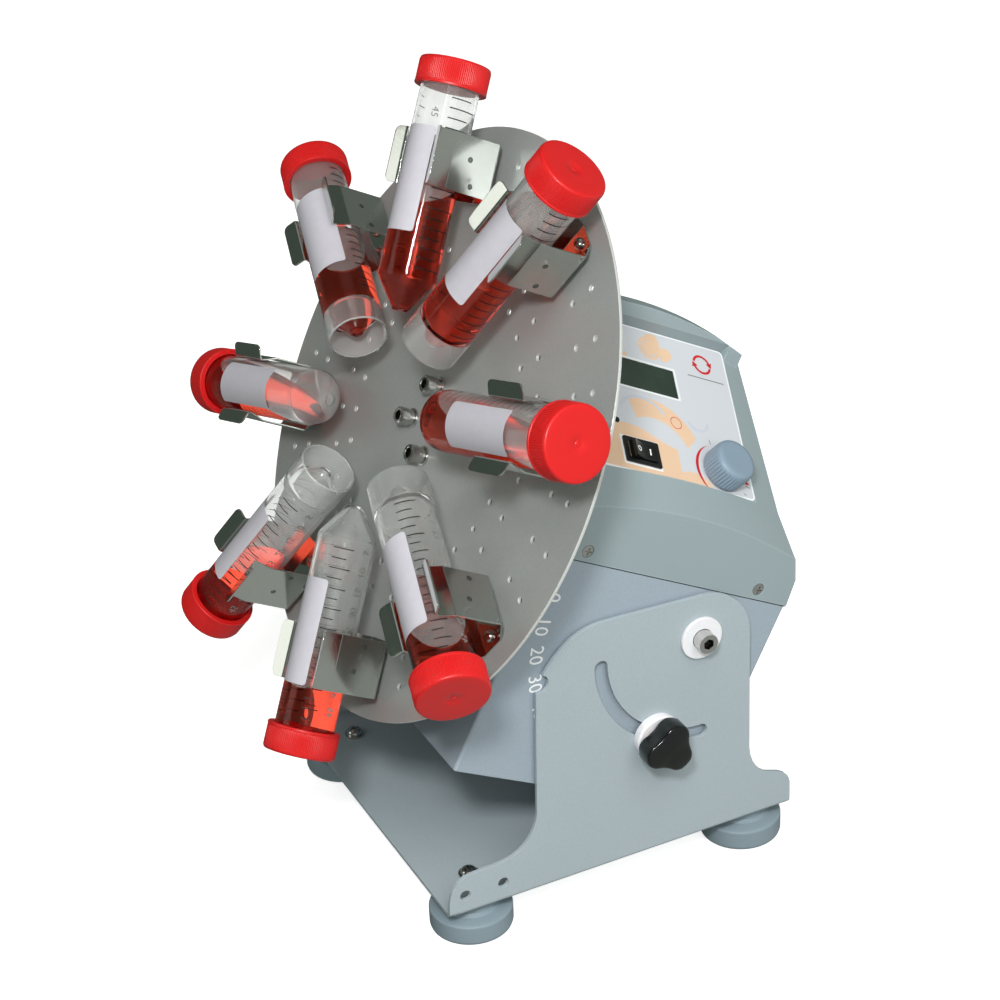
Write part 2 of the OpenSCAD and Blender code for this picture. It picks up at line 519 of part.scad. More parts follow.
base_frame();
feet();
foot_screws();
foot_washers();
chassis();
rear_panel();
rear_screws();
top_cover();
cover_screws();
label_panel();
pivot_screws();
pivot_washers();
pivot_spacers();
pivot_nuts();
clamp_studs();
clamp_washers();
clamp_knob();
clamp_nut();
lcd_window();
display_module();
switch_housing();
rocker();
status_led();
encoder();
encoder_shaft();
speed_knob();
control_board();
board_posts();
power_jack();
gearbox();
motor();
motor_bracket();
motor_screws();
bracket_screws();
bearing_housing();
shaft_bearings();
drive_shaft();
shaft_coupling();
disc_hub();
disc();
hub_screws();
hub_washers();
tube_clips();
clip_screws();
one_tube(1);  // tube_1
one_tube(2);  // tube_2
one_tube(3);  // tube_3
one_tube(4);  // tube_4
one_tube(5);  // tube_5
one_tube(6);  // tube_6
one_tube(7);  // tube_7
one_tube(8);  // tube_8
one_cap(1);  // cap_1
one_cap(2);  // cap_2
one_cap(3);  // cap_3
one_cap(4);  // cap_4
one_cap(5);  // cap_5
one_cap(6);  // cap_6
one_cap(7);  // cap_7
one_cap(8);  // cap_8
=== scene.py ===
import bpy, bmesh, math
from mathutils import Vector, Matrix


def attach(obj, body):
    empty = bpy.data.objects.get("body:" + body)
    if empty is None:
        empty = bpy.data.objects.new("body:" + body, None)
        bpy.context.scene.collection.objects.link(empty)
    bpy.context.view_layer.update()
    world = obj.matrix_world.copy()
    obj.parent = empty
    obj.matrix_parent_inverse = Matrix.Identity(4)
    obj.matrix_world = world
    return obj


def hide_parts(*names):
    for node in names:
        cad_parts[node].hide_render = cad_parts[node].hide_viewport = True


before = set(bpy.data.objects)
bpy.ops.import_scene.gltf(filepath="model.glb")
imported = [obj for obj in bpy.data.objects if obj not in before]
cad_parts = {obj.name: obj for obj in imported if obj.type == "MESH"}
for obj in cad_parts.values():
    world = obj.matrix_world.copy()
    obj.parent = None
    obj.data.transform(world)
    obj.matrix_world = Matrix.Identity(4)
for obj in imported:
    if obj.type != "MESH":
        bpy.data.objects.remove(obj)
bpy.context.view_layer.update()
S = 0.001


# ------------------------------------------------------------------ frames
def T(x, y, z):
    return Matrix.Translation((x * S, y * S, z * S))


def R(deg, axis):
    return Matrix.Rotation(math.radians(deg), 4, axis)


WORLD = Matrix.Identity(4)
HEAD = T(43.6, 0, 134.9) @ R(28, 'Y')
ROT = HEAD @ T(-126, 0, 43.5) @ R(-90, 'Y')
PAN = HEAD @ T(0, -91.3, 52.3) @ R(35, 'X')


def TUBE(k):
    return ROT @ R(18.2 - 45 * (k - 1), 'Z') @ T(0, 0, 30.4) @ R(90, 'Y')


def sr(r, g, b):
    """0-255 sRGB to linear"""
    f = lambda c: (c / 255 / 12.92) if c <= 10 else ((c / 255 + 0.055) / 1.055) ** 2.4
    return (f(r), f(g), f(b), 1.0)


# ------------------------------------------------------------------ mesh making
def make(name, verts, faces, M=WORLD, mat=None, body=None, smooth=35, repl=(), merge=0.0, idx=None):
    me = bpy.data.meshes.new(name)
    me.from_pydata([tuple(M @ (Vector(v) * S)) for v in verts], [], faces)
    if idx:
        for p, i in zip(me.polygons, idx):
            p.material_index = i
    bm = bmesh.new(); bm.from_mesh(me)
    if merge:
        bmesh.ops.remove_doubles(bm, verts=bm.verts, dist=merge * S)
    bmesh.ops.recalc_face_normals(bm, faces=bm.faces)
    bm.to_mesh(me); bm.free()
    return finish_obj(name, me, mat, body, smooth, repl)


def finish_obj(name, me, mat, body, smooth=35, repl=()):
    o = bpy.data.objects.new(name, me)
    bpy.context.scene.collection.objects.link(o)
    mats = mat if isinstance(mat, (list, tuple)) else [mat]
    me.materials.clear()
    for m in mats:
        if m:
            me.materials.append(m)
    if smooth:
        me.shade_smooth()
        me.set_sharp_from_angle(angle=math.radians(smooth))
    if body:
        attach(o, body)
    if repl:
        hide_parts(*repl)
    return o


def fillet(pts, rad, n=5, closed=False):
    """round the corners of a 2D polyline; rad is one number or one for each point"""
    out = []
    m = len(pts)
    for i, p in enumerate(pts):
        r = rad[i] if isinstance(rad, (list, tuple)) else rad
        if r <= 0 or (not closed and i in (0, m - 1)):
            out.append(tuple(p)); continue
        a = Vector(pts[i - 1]) - Vector(p)
        b = Vector(pts[(i + 1) % m]) - Vector(p)
        la, lb = a.length, b.length
        if la < 1e-6 or lb < 1e-6:
            continue
        a.normalize(); b.normalize()
        ang = math.acos(max(-1, min(1, a.dot(b))))
        if abs(math.pi - ang) < 0.02:
            out.append(tuple(p)); continue
        d = min(r / math.tan(ang / 2), la * 0.49, lb * 0.49)
        rr = d * math.tan(ang / 2)
        c = Vector(p) + (a + b).normalized() * (rr / math.sin(ang / 2))
        s = Vector(p) + a * d - c
        e = Vector(p) + b * d - c
        sweep = math.atan2(s[0] * e[1] - s[1] * e[0], s.dot(e))
        for j in range(n + 1):
            t = sweep * j / n
            q = Vector((s[0] * math.cos(t) - s[1] * math.sin(t), s[0] * math.sin(t) + s[1] * math.cos(t)))
            out.append(tuple(c + q))
    return out


def lathe(prof, seg=96, rmod=None, closed=True):
    """revolve (r, z) points about Z; rmod(r, z, a) changes the radius"""
    V, F = [], []
    rings = []
    for r, z in prof:
        if r < 1e-6:
            rings.append([len(V)]); V.append((0, 0, z))
        else:
            ids = []
            for j in range(seg):
                a = 2 * math.pi * j / seg
                rr = rmod(r, z, a) if rmod else r
                ids.append(len(V)); V.append((rr * math.cos(a), rr * math.sin(a), z))
            rings.append(ids)
    n = len(prof)
    for i in range(n if closed else n - 1):
        A, B = rings[i], rings[(i + 1) % n]
        if len(A) == 1 and len(B) == 1:
            continue
        for j in range(seg):
            k = (j + 1) % seg
            if len(A) == 1:
                F.append((A[0], B[j], B[k]))
            elif len(B) == 1:
                F.append((A[j], B[0], A[k]))
            else:
                F.append((A[j], B[j], B[k], A[k]))
    return V, F


def plate(name, outline, holes, z0, z1, M, mat, body, bevel=0.2, bres=2, repl=(), smooth=35, edge_mat=False):
    """flat plate in the XY plane of M with rounded edges and holes"""
    cu = bpy.data.curves.new(name, 'CURVE')
    cu.dimensions = '2D'; cu.fill_mode = 'BOTH'
    h = z1 - z0
    cu.extrude = max(h / 2 - bevel, 0.0005); cu.bevel_depth = bevel; cu.bevel_resolution = bres; cu.offset = -bevel
    for loop in [outline] + list(holes):
        sp = cu.splines.new('POLY'); sp.points.add(len(loop) - 1)
        for q, p in zip(sp.points, loop):
            q.co = (p[0], p[1], 0, 1)
        sp.use_cyclic_u = True
    ob = bpy.data.objects.new(name + '_c', cu)
    bpy.context.scene.collection.objects.link(ob)
    bpy.context.view_layer.update()
    me = bpy.data.meshes.new_from_object(ob.evaluated_get(bpy.context.evaluated_depsgraph_get()))
    bpy.data.objects.remove(ob); bpy.data.curves.remove(cu)
    me.name = name
    zc = (z0 + z1) / 2
    for v in me.vertices:
        v.co = M @ Vector((v.co.x * S, v.co.y * S, (v.co.z + zc) * S))
    bm = bmesh.new(); bm.from_mesh(me)
    bmesh.ops.remove_doubles(bm, verts=bm.verts, dist=0.00001)
    bmesh.ops.recalc_face_normals(bm, faces=bm.faces)
    bm.to_mesh(me); bm.free()
    o = finish_obj(name, me, mat, body, smooth, repl)
    nz = (M.to_3x3() @ Vector((0, 0, 1))).normalized()
    for p in me.polygons:
        flat = abs(p.normal.dot(nz)) > 0.999
        if flat:
            p.use_smooth = False
        if edge_mat and not flat:
            p.material_index = 1
    return o


def circle(cx, cy, r, n=32, a0=0.0):
    return [(cx + r * math.cos(a0 + 2 * math.pi * i / n), cy + r * math.sin(a0 + 2 * math.pi * i / n)) for i in range(n)]


def rrect(x0, y0, x1, y1, r, n=6):
    return fillet([(x0, y0), (x1, y0), (x1, y1), (x0, y1)], r, n, closed=True)


def soften(node, mat, body, width=0.3, seg=2, angle=28, extra=(), smooth=38, name=None):
    """a copy of a CAD node's mesh with its edges rounded over; extra is [(test on an edge, width, segments)]"""
    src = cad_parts[node]
    me = src.data.copy()
    me.name = (name or node + "_finished")
    bm = bmesh.new(); bm.from_mesh(me)
    bmesh.ops.remove_doubles(bm, verts=bm.verts, dist=0.000004)
    bmesh.ops.dissolve_limit(bm, angle_limit=math.radians(0.6), use_dissolve_boundaries=False, verts=bm.verts, edges=bm.edges)

    def sharp(e):
        return len(e.link_faces) == 2 and e.calc_face_angle(0) > math.radians(angle)
    for test, w, s in extra:
        es = [e for e in bm.edges if sharp(e) and test(e)]
        if es:
            bmesh.ops.bevel(bm, geom=es, offset=w * S, offset_type='OFFSET', segments=s, profile=0.5, affect='EDGES', clamp_overlap=True)
    es = [e for e in bm.edges if sharp(e)]
    if width > 0 and es:
        bmesh.ops.bevel(bm, geom=es, offset=width * S, offset_type='OFFSET', segments=seg, profile=0.5, affect='EDGES', clamp_overlap=True)
    bmesh.ops.recalc_face_normals(bm, faces=bm.faces)
    bm.to_mesh(me); bm.free()
    o = finish_obj(me.name, me, mat, body, smooth, (node,))
    wn = o.modifiers.new('wn', 'WEIGHTED_NORMAL'); wn.keep_sharp = True; wn.weight = 60
    return o


# ------------------------------------------------------------------ materials
class NT:
    def __init__(s, name):
        s.m = bpy.data.materials.new(name)
        s.m.use_nodes = True
        s.t = s.m.node_tree
        s.t.nodes.clear()
        s.o = s.t.nodes.new('ShaderNodeOutputMaterial')
        s.b = s.t.nodes.new('ShaderNodeBsdfPrincipled')
        s.t.links.new(s.b.outputs[0], s.o.inputs['Surface'])
        s.tc = s.t.nodes.new('ShaderNodeTexCoord')

    def n(s, kind, props=None, **inp):
        x = s.t.nodes.new(kind)
        for k, v in (props or {}).items():
            setattr(x, k, v)
        for k, v in inp.items():
            k = k.replace('_', ' ')
            if isinstance(v, bpy.types.NodeSocket):
                s.t.links.new(v, x.inputs[k])
            else:
                x.inputs[k].default_value = v
        return x

    def l(s, a, b):
        s.t.links.new(a, b)

    def obj(s, scale=(1, 1, 1), rot=None):
        mp = s.n('ShaderNodeMapping')
        mp.inputs['Scale'].default_value = scale
        if rot:
            mp.inputs['Rotation'].default_value = rot
        s.l(s.tc.outputs['Object'], mp.inputs['Vector'])
        return mp.outputs[0]

    def noise(s, scale, detail=2.0, vec=None, rough=0.5):
        x = s.n('ShaderNodeTexNoise', Scale=scale, Detail=detail, Roughness=rough)
        s.l(vec or s.tc.outputs['Object'], x.inputs['Vector'])
        return x.outputs['Fac']

    def ramp(s, fac, stops):
        x = s.n('ShaderNodeValToRGB')
        s.l(fac, x.inputs[0])
        cr = x.color_ramp
        while len(cr.elements) < len(stops):
            cr.elements.new(0.5)
        for e, (p, c) in zip(cr.elements, stops):
            e.position = p
            e.color = c if len(c) == 4 else (*c, 1)
        return x.outputs[0]

    def mix(s, fac, a, b, mode='MIX'):
        x = s.n('ShaderNodeMix', {'data_type': 'RGBA', 'blend_type': mode})
        for sock, v in ((x.inputs[0], fac), (x.inputs[6], a), (x.inputs[7], b)):
            if isinstance(v, bpy.types.NodeSocket):
                s.l(v, sock)
            else:
                sock.default_value = v
        return x.outputs[2]

    def math(s, op, a, b=0.0, clamp=False):
        x = s.n('ShaderNodeMath', {'operation': op, 'use_clamp': clamp})
        for sock, v in ((x.inputs[0], a), (x.inputs[1], b)):
            if isinstance(v, bpy.types.NodeSocket):
                s.l(v, sock)
            else:
                sock.default_value = v
        return x.outputs[0]

    def edge(s, radius=0.0006):
        """0 on flats, towards 1 on edges"""
        bv = s.n('ShaderNodeBevel', {'samples': 4}, Radius=radius)
        ge = s.n('ShaderNodeNewGeometry')
        d = s.n('ShaderNodeVectorMath', {'operation': 'DOT_PRODUCT'})
        s.l(bv.outputs[0], d.inputs[0]); s.l(ge.outputs['Normal'], d.inputs[1])
        inv = s.math('SUBTRACT', 1.0, d.outputs['Value'])
        return s.math('MULTIPLY', inv, 5.0, clamp=True)

    def bump(s, height, strength=0.2, dist=0.0002, normal=None):
        x = s.n('ShaderNodeBump', Strength=strength, Distance=dist)
        s.l(height, x.inputs['Height'])
        if normal is not None:
            s.l(normal, x.inputs['Normal'])
        s.l(x.outputs[0], s.b.inputs['Normal'])
        return x.outputs[0]


def set_(b, **kw):
    for k, v in kw.items():
        b.inputs[k.replace('_', ' ')].default_value = v


def vary(c, f):
    return (min(1, c[0] * f), min(1, c[1] * f), min(1, c[2] * f), 1)


def painted(name, col, rough=0.42, grain=1500, bump=0.18, edge_gain=1.25, var=0.05, spec=0.5):
    """powder coat: fine orange peel, faint mottling, lighter edges (partly rubbed wear, partly a painted highlight
    along the edge lines), faint handling marks
    """
    t = NT(name)
    big = t.noise(9, 3)
    fine = t.noise(grain * 0.8, 1)
    c = t.ramp(big, [(0.3, vary(col, 1 - var)), (0.7, vary(col, 1 + var))])
    c = t.mix(0.5, c, t.ramp(fine, [(0.3, vary(col, 0.93)), (0.7, vary(col, 1.07))]))
    # edges lightened: partly rubbed wear, partly a painted highlight along the edge lines
    e = t.edge(0.0005)
    c = t.mix(t.math('MULTIPLY', e, 0.5), c, vary(col, edge_gain))
    t.l(c, t.b.inputs['Base Color'])
    smear = t.noise(38, 4, t.obj((1, 1, 0.35)))
    r = t.n('ShaderNodeMapRange', From_Min=0.3, From_Max=0.75, To_Min=rough - 0.05, To_Max=rough + 0.08)
    t.l(smear, r.inputs['Value'])
    t.l(r.outputs[0], t.b.inputs['Roughness'])
    peel = t.math('ADD', t.noise(grain, 2), t.math('MULTIPLY', t.noise(grain * 0.22, 1), 0.7))
    t.bump(peel, bump, 0.00012)
    set_(t.b, Specular_IOR_Level=spec)
    return t.m


def moulded(name, col, rough=0.45, grain=900, bump=0.12, var=0.03, spec=0.5, sss=0.0, coat=0.0, edge_k=0.35, edge_gain=1.2, edge_r=0.0005):
    """moulded plastic: fine spark texture, tiny specks, faint scuffs and lighter edges (partly polished wear, partly a
    painted highlight)
    """
    t = NT(name)
    big = t.noise(14, 2)
    fine = t.noise(grain * 1.3, 2)
    c = t.ramp(big, [(0.3, vary(col, 1 - var)), (0.7, vary(col, 1 + var))])
    c = t.mix(0.4, c, t.ramp(fine, [(0.3, vary(col, 0.95)), (0.72, vary(col, 1.05))]))
    # edges lightened: partly polished wear, partly a painted highlight
    e = t.edge(edge_r)
    c = t.mix(t.math('MULTIPLY', e, edge_k), c, vary(col, edge_gain))
    t.l(c, t.b.inputs['Base Color'])
    sc = t.noise(60, 5, t.obj((0.3, 1, 1)))
    r = t.n('ShaderNodeMapRange', From_Min=0.35, From_Max=0.7, To_Min=rough - 0.04, To_Max=rough + 0.07)
    t.l(sc, r.inputs['Value'])
    t.l(r.outputs[0], t.b.inputs['Roughness'])
    t.bump(t.noise(grain, 3), bump, 0.00012)
    set_(t.b, Specular_IOR_Level=spec)
    if sss:
        set_(t.b, Subsurface_Weight=sss, Subsurface_Scale=0.002)
        t.b.inputs['Subsurface Radius'].default_value = (1.0, 0.3, 0.2)
    if coat:
        set_(t.b, Coat_Weight=coat, Coat_Roughness=0.12)
    return t.m


def metal(name, col, rough=0.25, brush=None, grain=700, bump=0.05, var=0.08, rot=None, metallic=1.0):
    """metal with fine brushing or turning marks, smudges and brighter edges"""
    t = NT(name)
    vec = t.obj(brush or (1, 1, 1), rot)
    f = t.noise(grain, 3, vec)
    big = t.noise(22, 3)
    c = t.ramp(f, [(0.25, vary(col, 1 - var)), (0.75, vary(col, 1 + var))])
    c = t.mix(0.35, c, t.ramp(big, [(0.3, vary(col, 0.92)), (0.7, vary(col, 1.06))]))
    e = t.edge(0.0003)
    c = t.mix(t.math('MULTIPLY', e, 0.5), c, vary(col, 1.3))
    t.l(c, t.b.inputs['Base Color'])
    r = t.n('ShaderNodeMapRange', From_Min=0.3, From_Max=0.7, To_Min=max(0.05, rough - 0.06), To_Max=rough + 0.08)
    t.l(t.math('MULTIPLY', t.math('ADD', f, big), 0.5), r.inputs['Value'])
    t.l(r.outputs[0], t.b.inputs['Roughness'])
    t.bump(f, bump, 0.00006)
    set_(t.b, Metallic=metallic)
    return t.m


C_FRAME = sr(164, 176, 182)
C_CHASSIS = sr(152, 165, 176)
C_COVER = sr(144, 158, 162)
C_FOOT = sr(130, 146, 155)
C_KNOB = sr(128, 147, 163)

M_FRAME = painted('frame_paint', C_FRAME, rough=0.44)
# the chassis's stronger edge lightening is a painted highlight along its edge lines
M_CHASSIS = painted('chassis_paint', C_CHASSIS, rough=0.42, edge_gain=1.5)
# the cover's strong, wide edge lightening paints the highlight line along the crease between roof and side wall
M_COVER = moulded('cover_plastic', C_COVER, rough=0.44, grain=800, bump=0.16, edge_k=0.9, edge_gain=1.4, edge_r=0.0011)
M_FOOT = moulded('foot_plastic', C_FOOT, rough=0.5, grain=700)
M_KNOB = moulded('knob_plastic', C_KNOB, rough=0.36, grain=1200, bump=0.06)
M_BLACK = moulded('black_gloss', sr(16, 19, 18), rough=0.18, grain=900, bump=0.03, var=0.12)
M_NYLON = moulded('washer_nylon', sr(232, 232, 236), rough=0.4, grain=700, bump=0.05, sss=0.15)
M_SCREW = metal('screw_steel', (0.56, 0.56, 0.54, 1), 0.15, (1, 1, 6), 900, 0.06)
# near-black steel for screw sockets and recesses: painted shade in the hollows
M_SOCKET_PAINTED_SHADE = metal('screw_recess_painted_shade', (0.06, 0.06, 0.055, 1), 0.4, None, 900, 0.06)
M_ALLOY = metal('gear_alloy', (0.60, 0.61, 0.63, 1), 0.34, (1, 1, 1), 1200, 0.08)
M_BRACKET = metal('bracket_steel', (0.52, 0.53, 0.54, 1), 0.36, (0.2, 1, 1), 700, 0.06)
M_BEARING = metal('bearing_steel', (0.62, 0.63, 0.65, 1), 0.2, None, 900, 0.03)
M_MOTOR = painted('motor_can', sr(62, 64, 67), rough=0.4)
M_BOARD = moulded('board_green', sr(24, 84, 45), rough=0.35, grain=1500)
M_ENCODER = moulded('encoder_body', sr(52, 54, 56), rough=0.45)
M_CLIP = metal('clip_steel', (0.60, 0.625, 0.59, 1), 0.11, (1, 0.08, 1), 1400, 0.035, var=0.05)
M_DOT = metal('weld_dot', (0.20, 0.22, 0.20, 1), 0.4, None, 900, 0.1)
M_CAP = moulded('cap_red', sr(200, 25, 26), rough=0.36, grain=700, bump=0.05, var=0.03, sss=0.12)
M_PRINT_K = moulded('print_black', sr(12, 13, 13), rough=0.5)
M_PRINT_G = moulded('print_grey', sr(120, 122, 120), rough=0.5)
M_PRINT_W = moulded('print_white', sr(240, 242, 243), rough=0.5)
M_PRINT_R = moulded('print_red', sr(190, 24, 32), rough=0.4)
M_PEACH = moulded('print_peach', sr(222, 190, 160), rough=0.38, grain=1500, bump=0.03)
M_PALE = moulded('print_pale_grey', sr(188, 193, 204), rough=0.38, grain=1500, bump=0.03)
M_LABEL = moulded('label_film', sr(200, 204, 210), rough=0.34, grain=1500, bump=0.04, var=0.015)
M_LABEL_EDGE = moulded('label_edge', sr(232, 235, 238), rough=0.3, grain=1500, bump=0.02)


def disc_material():
    """satin anodised sheet: fine rolled grain, faint cloudy patches and hand marks"""
    t = NT('disc_alloy')
    vec = t.obj((1, 1, 0.12))
    f = t.noise(1500, 2, vec)
    cloud = t.noise(13, 4)
    c = t.ramp(cloud, [(0.3, (0.34, 0.36, 0.355, 1)), (0.7, (0.39, 0.41, 0.40, 1))])
    c = t.mix(0.35, c, t.ramp(f, [(0.3, (0.34, 0.352, 0.344, 1)), (0.7, (0.45, 0.465, 0.455, 1))]))
    t.l(c, t.b.inputs['Base Color'])
    r = t.n('ShaderNodeMapRange', From_Min=0.3, From_Max=0.7, To_Min=0.30, To_Max=0.40)
    t.l(t.noise(31, 4), r.inputs['Value'])
    t.l(r.outputs[0], t.b.inputs['Roughness'])
    t.bump(f, 0.05, 0.00006)
    set_(t.b, Metallic=0.3)
    return t.m


M_DISC = disc_material()
M_RIM = metal('disc_rim', (0.66, 0.68, 0.66, 1), 0.3, None, 1500, 0.04, metallic=0.35)


def clear_plastic():
    """clear moulded polypropylene: slight haze, faint flow waviness"""
    t = NT('tube_clear')
    wav = t.noise(45, 2)
    c = t.ramp(t.noise(120, 2), [(0.3, (0.975, 0.985, 0.98, 1)), (0.7, (0.99, 0.998, 0.994, 1))])
    t.l(c, t.b.inputs['Base Color'])
    r = t.n('ShaderNodeMapRange', From_Min=0.3, From_Max=0.7, To_Min=0.0, To_Max=0.035)
    t.l(t.noise(60, 3), r.inputs['Value'])
    t.l(r.outputs[0], t.b.inputs['Roughness'])
    t.bump(wav, 0.05, 0.0003)
    set_(t.b, Transmission_Weight=1.0, IOR=1.30)
    return t.m


def liquid():
    t = NT('liquid_red')
    c = t.ramp(t.noise(70, 2), [(0.3, (0.95, 0.085, 0.045, 1)), (0.7, (0.98, 0.105, 0.055, 1))])
    t.l(c, t.b.inputs['Base Color'])
    r = t.n('ShaderNodeMapRange', From_Min=0.3, From_Max=0.7, To_Min=0.0, To_Max=0.02)
    t.l(t.noise(60, 3), r.inputs['Value'])
    t.l(r.outputs[0], t.b.inputs['Roughness'])
    set_(t.b, Transmission_Weight=1.0, IOR=1.16)
    return t.m


def patch_white():
    """white ink on clear plastic: a little light comes through"""
    t = NT('patch_white')
    c = t.ramp(t.noise(260, 3), [(0.3, sr(190, 188, 196)), (0.7, sr(194, 192, 200))])
    t.l(c, t.b.inputs['Base Color'])
    r = t.n('ShaderNodeMapRange', From_Min=0.3, From_Max=0.7, To_Min=0.5, To_Max=0.65)
    t.l(t.noise(300, 3), r.inputs['Value'])
    t.l(r.outputs[0], t.b.inputs['Roughness'])
    t.bump(t.noise(1200, 2), 0.08, 0.0001)
    set_(t.b, Alpha=0.94)
    return t.m


def lcd_material():
    """dark tinted window with faint internal cells"""
    t = NT('window')
    c = t.ramp(t.noise(40, 2), [(0.3, sr(32, 47, 38)), (0.7, sr(46, 62, 51))])
    t.l(c, t.b.inputs['Base Color'])
    r = t.n('ShaderNodeMapRange', From_Min=0.3, From_Max=0.7, To_Min=0.10, To_Max=0.20)
    t.l(t.noise(90, 3), r.inputs['Value'])
    t.l(r.outputs[0], t.b.inputs['Roughness'])
    t.bump(t.noise(500, 2), 0.03, 0.0001)
    set_(t.b, Coat_Weight=0.25, Coat_Roughness=0.08)
    return t.m


M_CLEAR = clear_plastic()


def haze_plastic():
    """inner skin of the moulded tube: slightly milky"""
    t = NT('tube_haze')
    c = t.ramp(t.noise(150, 2), [(0.3, (0.93, 0.94, 0.93, 1)), (0.7, (0.98, 0.985, 0.98, 1))])
    t.l(c, t.b.inputs['Base Color'])
    r = t.n('ShaderNodeMapRange', From_Min=0.3, From_Max=0.7, To_Min=0.02, To_Max=0.07)
    t.l(t.noise(70, 3), r.inputs['Value'])
    t.l(r.outputs[0], t.b.inputs['Roughness'])
    t.bump(t.noise(90, 3), 0.06, 0.0002)
    set_(t.b, Transmission_Weight=0.77, IOR=1.30)
    return t.m


M_HAZE = haze_plastic()
M_LIQ = liquid()
M_PATCH = patch_white()
M_LCD = lcd_material()

# ------------------------------------------------------------------ base frame
lowest = 19.9 * S


def mid(e):
    return (e.verts[0].co + e.verts[1].co) / 2


def along(e, ax, tol=0.98):
    d = (e.verts[1].co - e.verts[0].co)
    return d.length > 1e-9 and abs(d.normalized()[ax]) > tol


soften('base_frame', M_FRAME, 'base', 0.22, 2, 30, extra=[
    (lambda e: along(e, 0) and abs(mid(e).z - 0.0199) < 2e-4 and abs(abs(mid(e).y) - 0.0948) < 3e-4, 2.4, 6),
    (lambda e: along(e, 0) and abs(mid(e).z - 0.0219) < 2e-4 and abs(abs(mid(e).y) - 0.0928) < 3e-4, 0.9, 4),
    (lambda e: along(e, 1) and mid(e).x < -0.094 and 0.028 < mid(e).z < 0.036, 1.2, 4)])

# feet: turned outline
for i, (x, y) in enumerate([(-1, -1), (1, -1), (-1, 1), (1, 1)]):
    prof = fillet([(0, 0.0), (17.2, 0.0), (18.2, 0.9), (20.1, 1.1), (20.6, 2.6), (20.6, 9.4), (20.6, 11.6), (18.4, 12.2),
                   (14.6, 12.9), (13.0, 14.2), (12.6, 19.9), (0, 19.9)], [0, 0.4, 0.4, 0.6, 0.5, 0, 1.0, 0.8, 0.8, 0.8, 0, 0], 4)

    def fm(r, z, a):
        return r - (0.12 if r > 20.3 and 6.9 < z < 7.3 else 0)
    pr = []
    for j, p in enumerate(prof):
        pr.append(p)
        if abs(p[0] - 20.6) < 0.01 and 2.6 < p[1] < 3.2:
            pass
    V, F = lathe(prof, 96)
    make('foot_%d' % (i + 1), V, F, T(x * 76.2, y * 77.5, 0), M_FOOT, 'base', 40, ('feet',), merge=0.001)

soften('foot_screws', M_SCREW, 'base', 0.12, 2, 35)
soften('foot_washers', M_SCREW, 'base', 0.12, 2, 35)

# ------------------------------------------------------------------ head shell
HI = HEAD.inverted()


def hloc(e):
    return (HI @ mid(e)) / S


def hdir(e):
    return (HI.to_3x3() @ (e.verts[1].co - e.verts[0].co)).normalized()


soften('chassis', M_CHASSIS, 'head', 0.25, 2, 30, extra=[
    (lambda e: abs(hdir(e).z) > 0.98 and hloc(e).x < -98.5 and abs(abs(hloc(e).y) - 91.3) < 0.2, 1.6, 4),
    (lambda e: abs(hloc(e).z + 91) < 0.2 and (abs(abs(hloc(e).y) - 91.3) < 0.2 or hloc(e).x < -98.8), 1.6, 4)])
soften('rear_panel', M_CHASSIS, 'head', 0.2, 2, 30)
soften('rear_screws', M_SCREW, 'head', 0.1, 2, 35)
soften('cover_screws', M_SCREW, 'head', 0.1, 2, 35)
soften('top_cover', M_COVER, 'head', 0.6, 3, 24)

# a thin dark strip just below the cover's edge: painted shadow in the gap where the cover sits on the tray
for i, M_ in enumerate((HEAD @ T(0, -91.3, 0) @ R(90, 'X'), HEAD @ T(0, 91.3, 0) @ R(-90, 'X') @ R(180, 'Z'))):
    sx_ = 1 if i == 0 else -1
    plate('cover_gap_painted_shadow_%d' % (i + 1), [(sx_ * -98, 22.55), (sx_ * 43.6, 22.55), (sx_ * 43.6, 23.05), (sx_ * -98, 23.05)] if i == 0 else [(98, 22.55), (-43.6, 22.55), (-43.6, 23.05), (98, 23.05)],
          [], -0.3, 0.06, M_, moulded('painted_seam_shadow_%d' % (i + 1), sr(40, 48, 50), rough=0.7), 'head', 0.02, 1)

# ------------------------------------------------------------------ pivot and clamp
soften('pivot_screws', M_SCREW, 'head', 0.25, 3, 35)
# near-black steel in each screw head's recess: painted shade
o_ = bpy.data.objects['pivot_screws_finished']
o_.data.materials.append(M_SOCKET_PAINTED_SHADE)
top_ = max(abs(v.co.y) for v in o_.data.vertices)
for p_ in o_.data.polygons:
    r_ = math.hypot(p_.center.x - 43.6 * S, p_.center.z - 134.9 * S)
    if r_ < 2.75 * S and top_ - 3.6 * S < abs(p_.center.y) < top_ - 0.3 * S:
        p_.material_index = 1
soften('pivot_washers', M_NYLON, 'head', 0.3, 3, 35)
soften('pivot_spacers', M_NYLON, 'head', 0.2, 2, 35)
soften('pivot_nuts', M_SCREW, 'head', 0.3, 2, 35)
soften('clamp_studs', M_SCREW, 'head', 0.2, 2, 35)
soften('clamp_washers', M_NYLON, 'head', 0.3, 3, 35)
soften('clamp_nut', M_SCREW, 'head', 0.3, 2, 35)


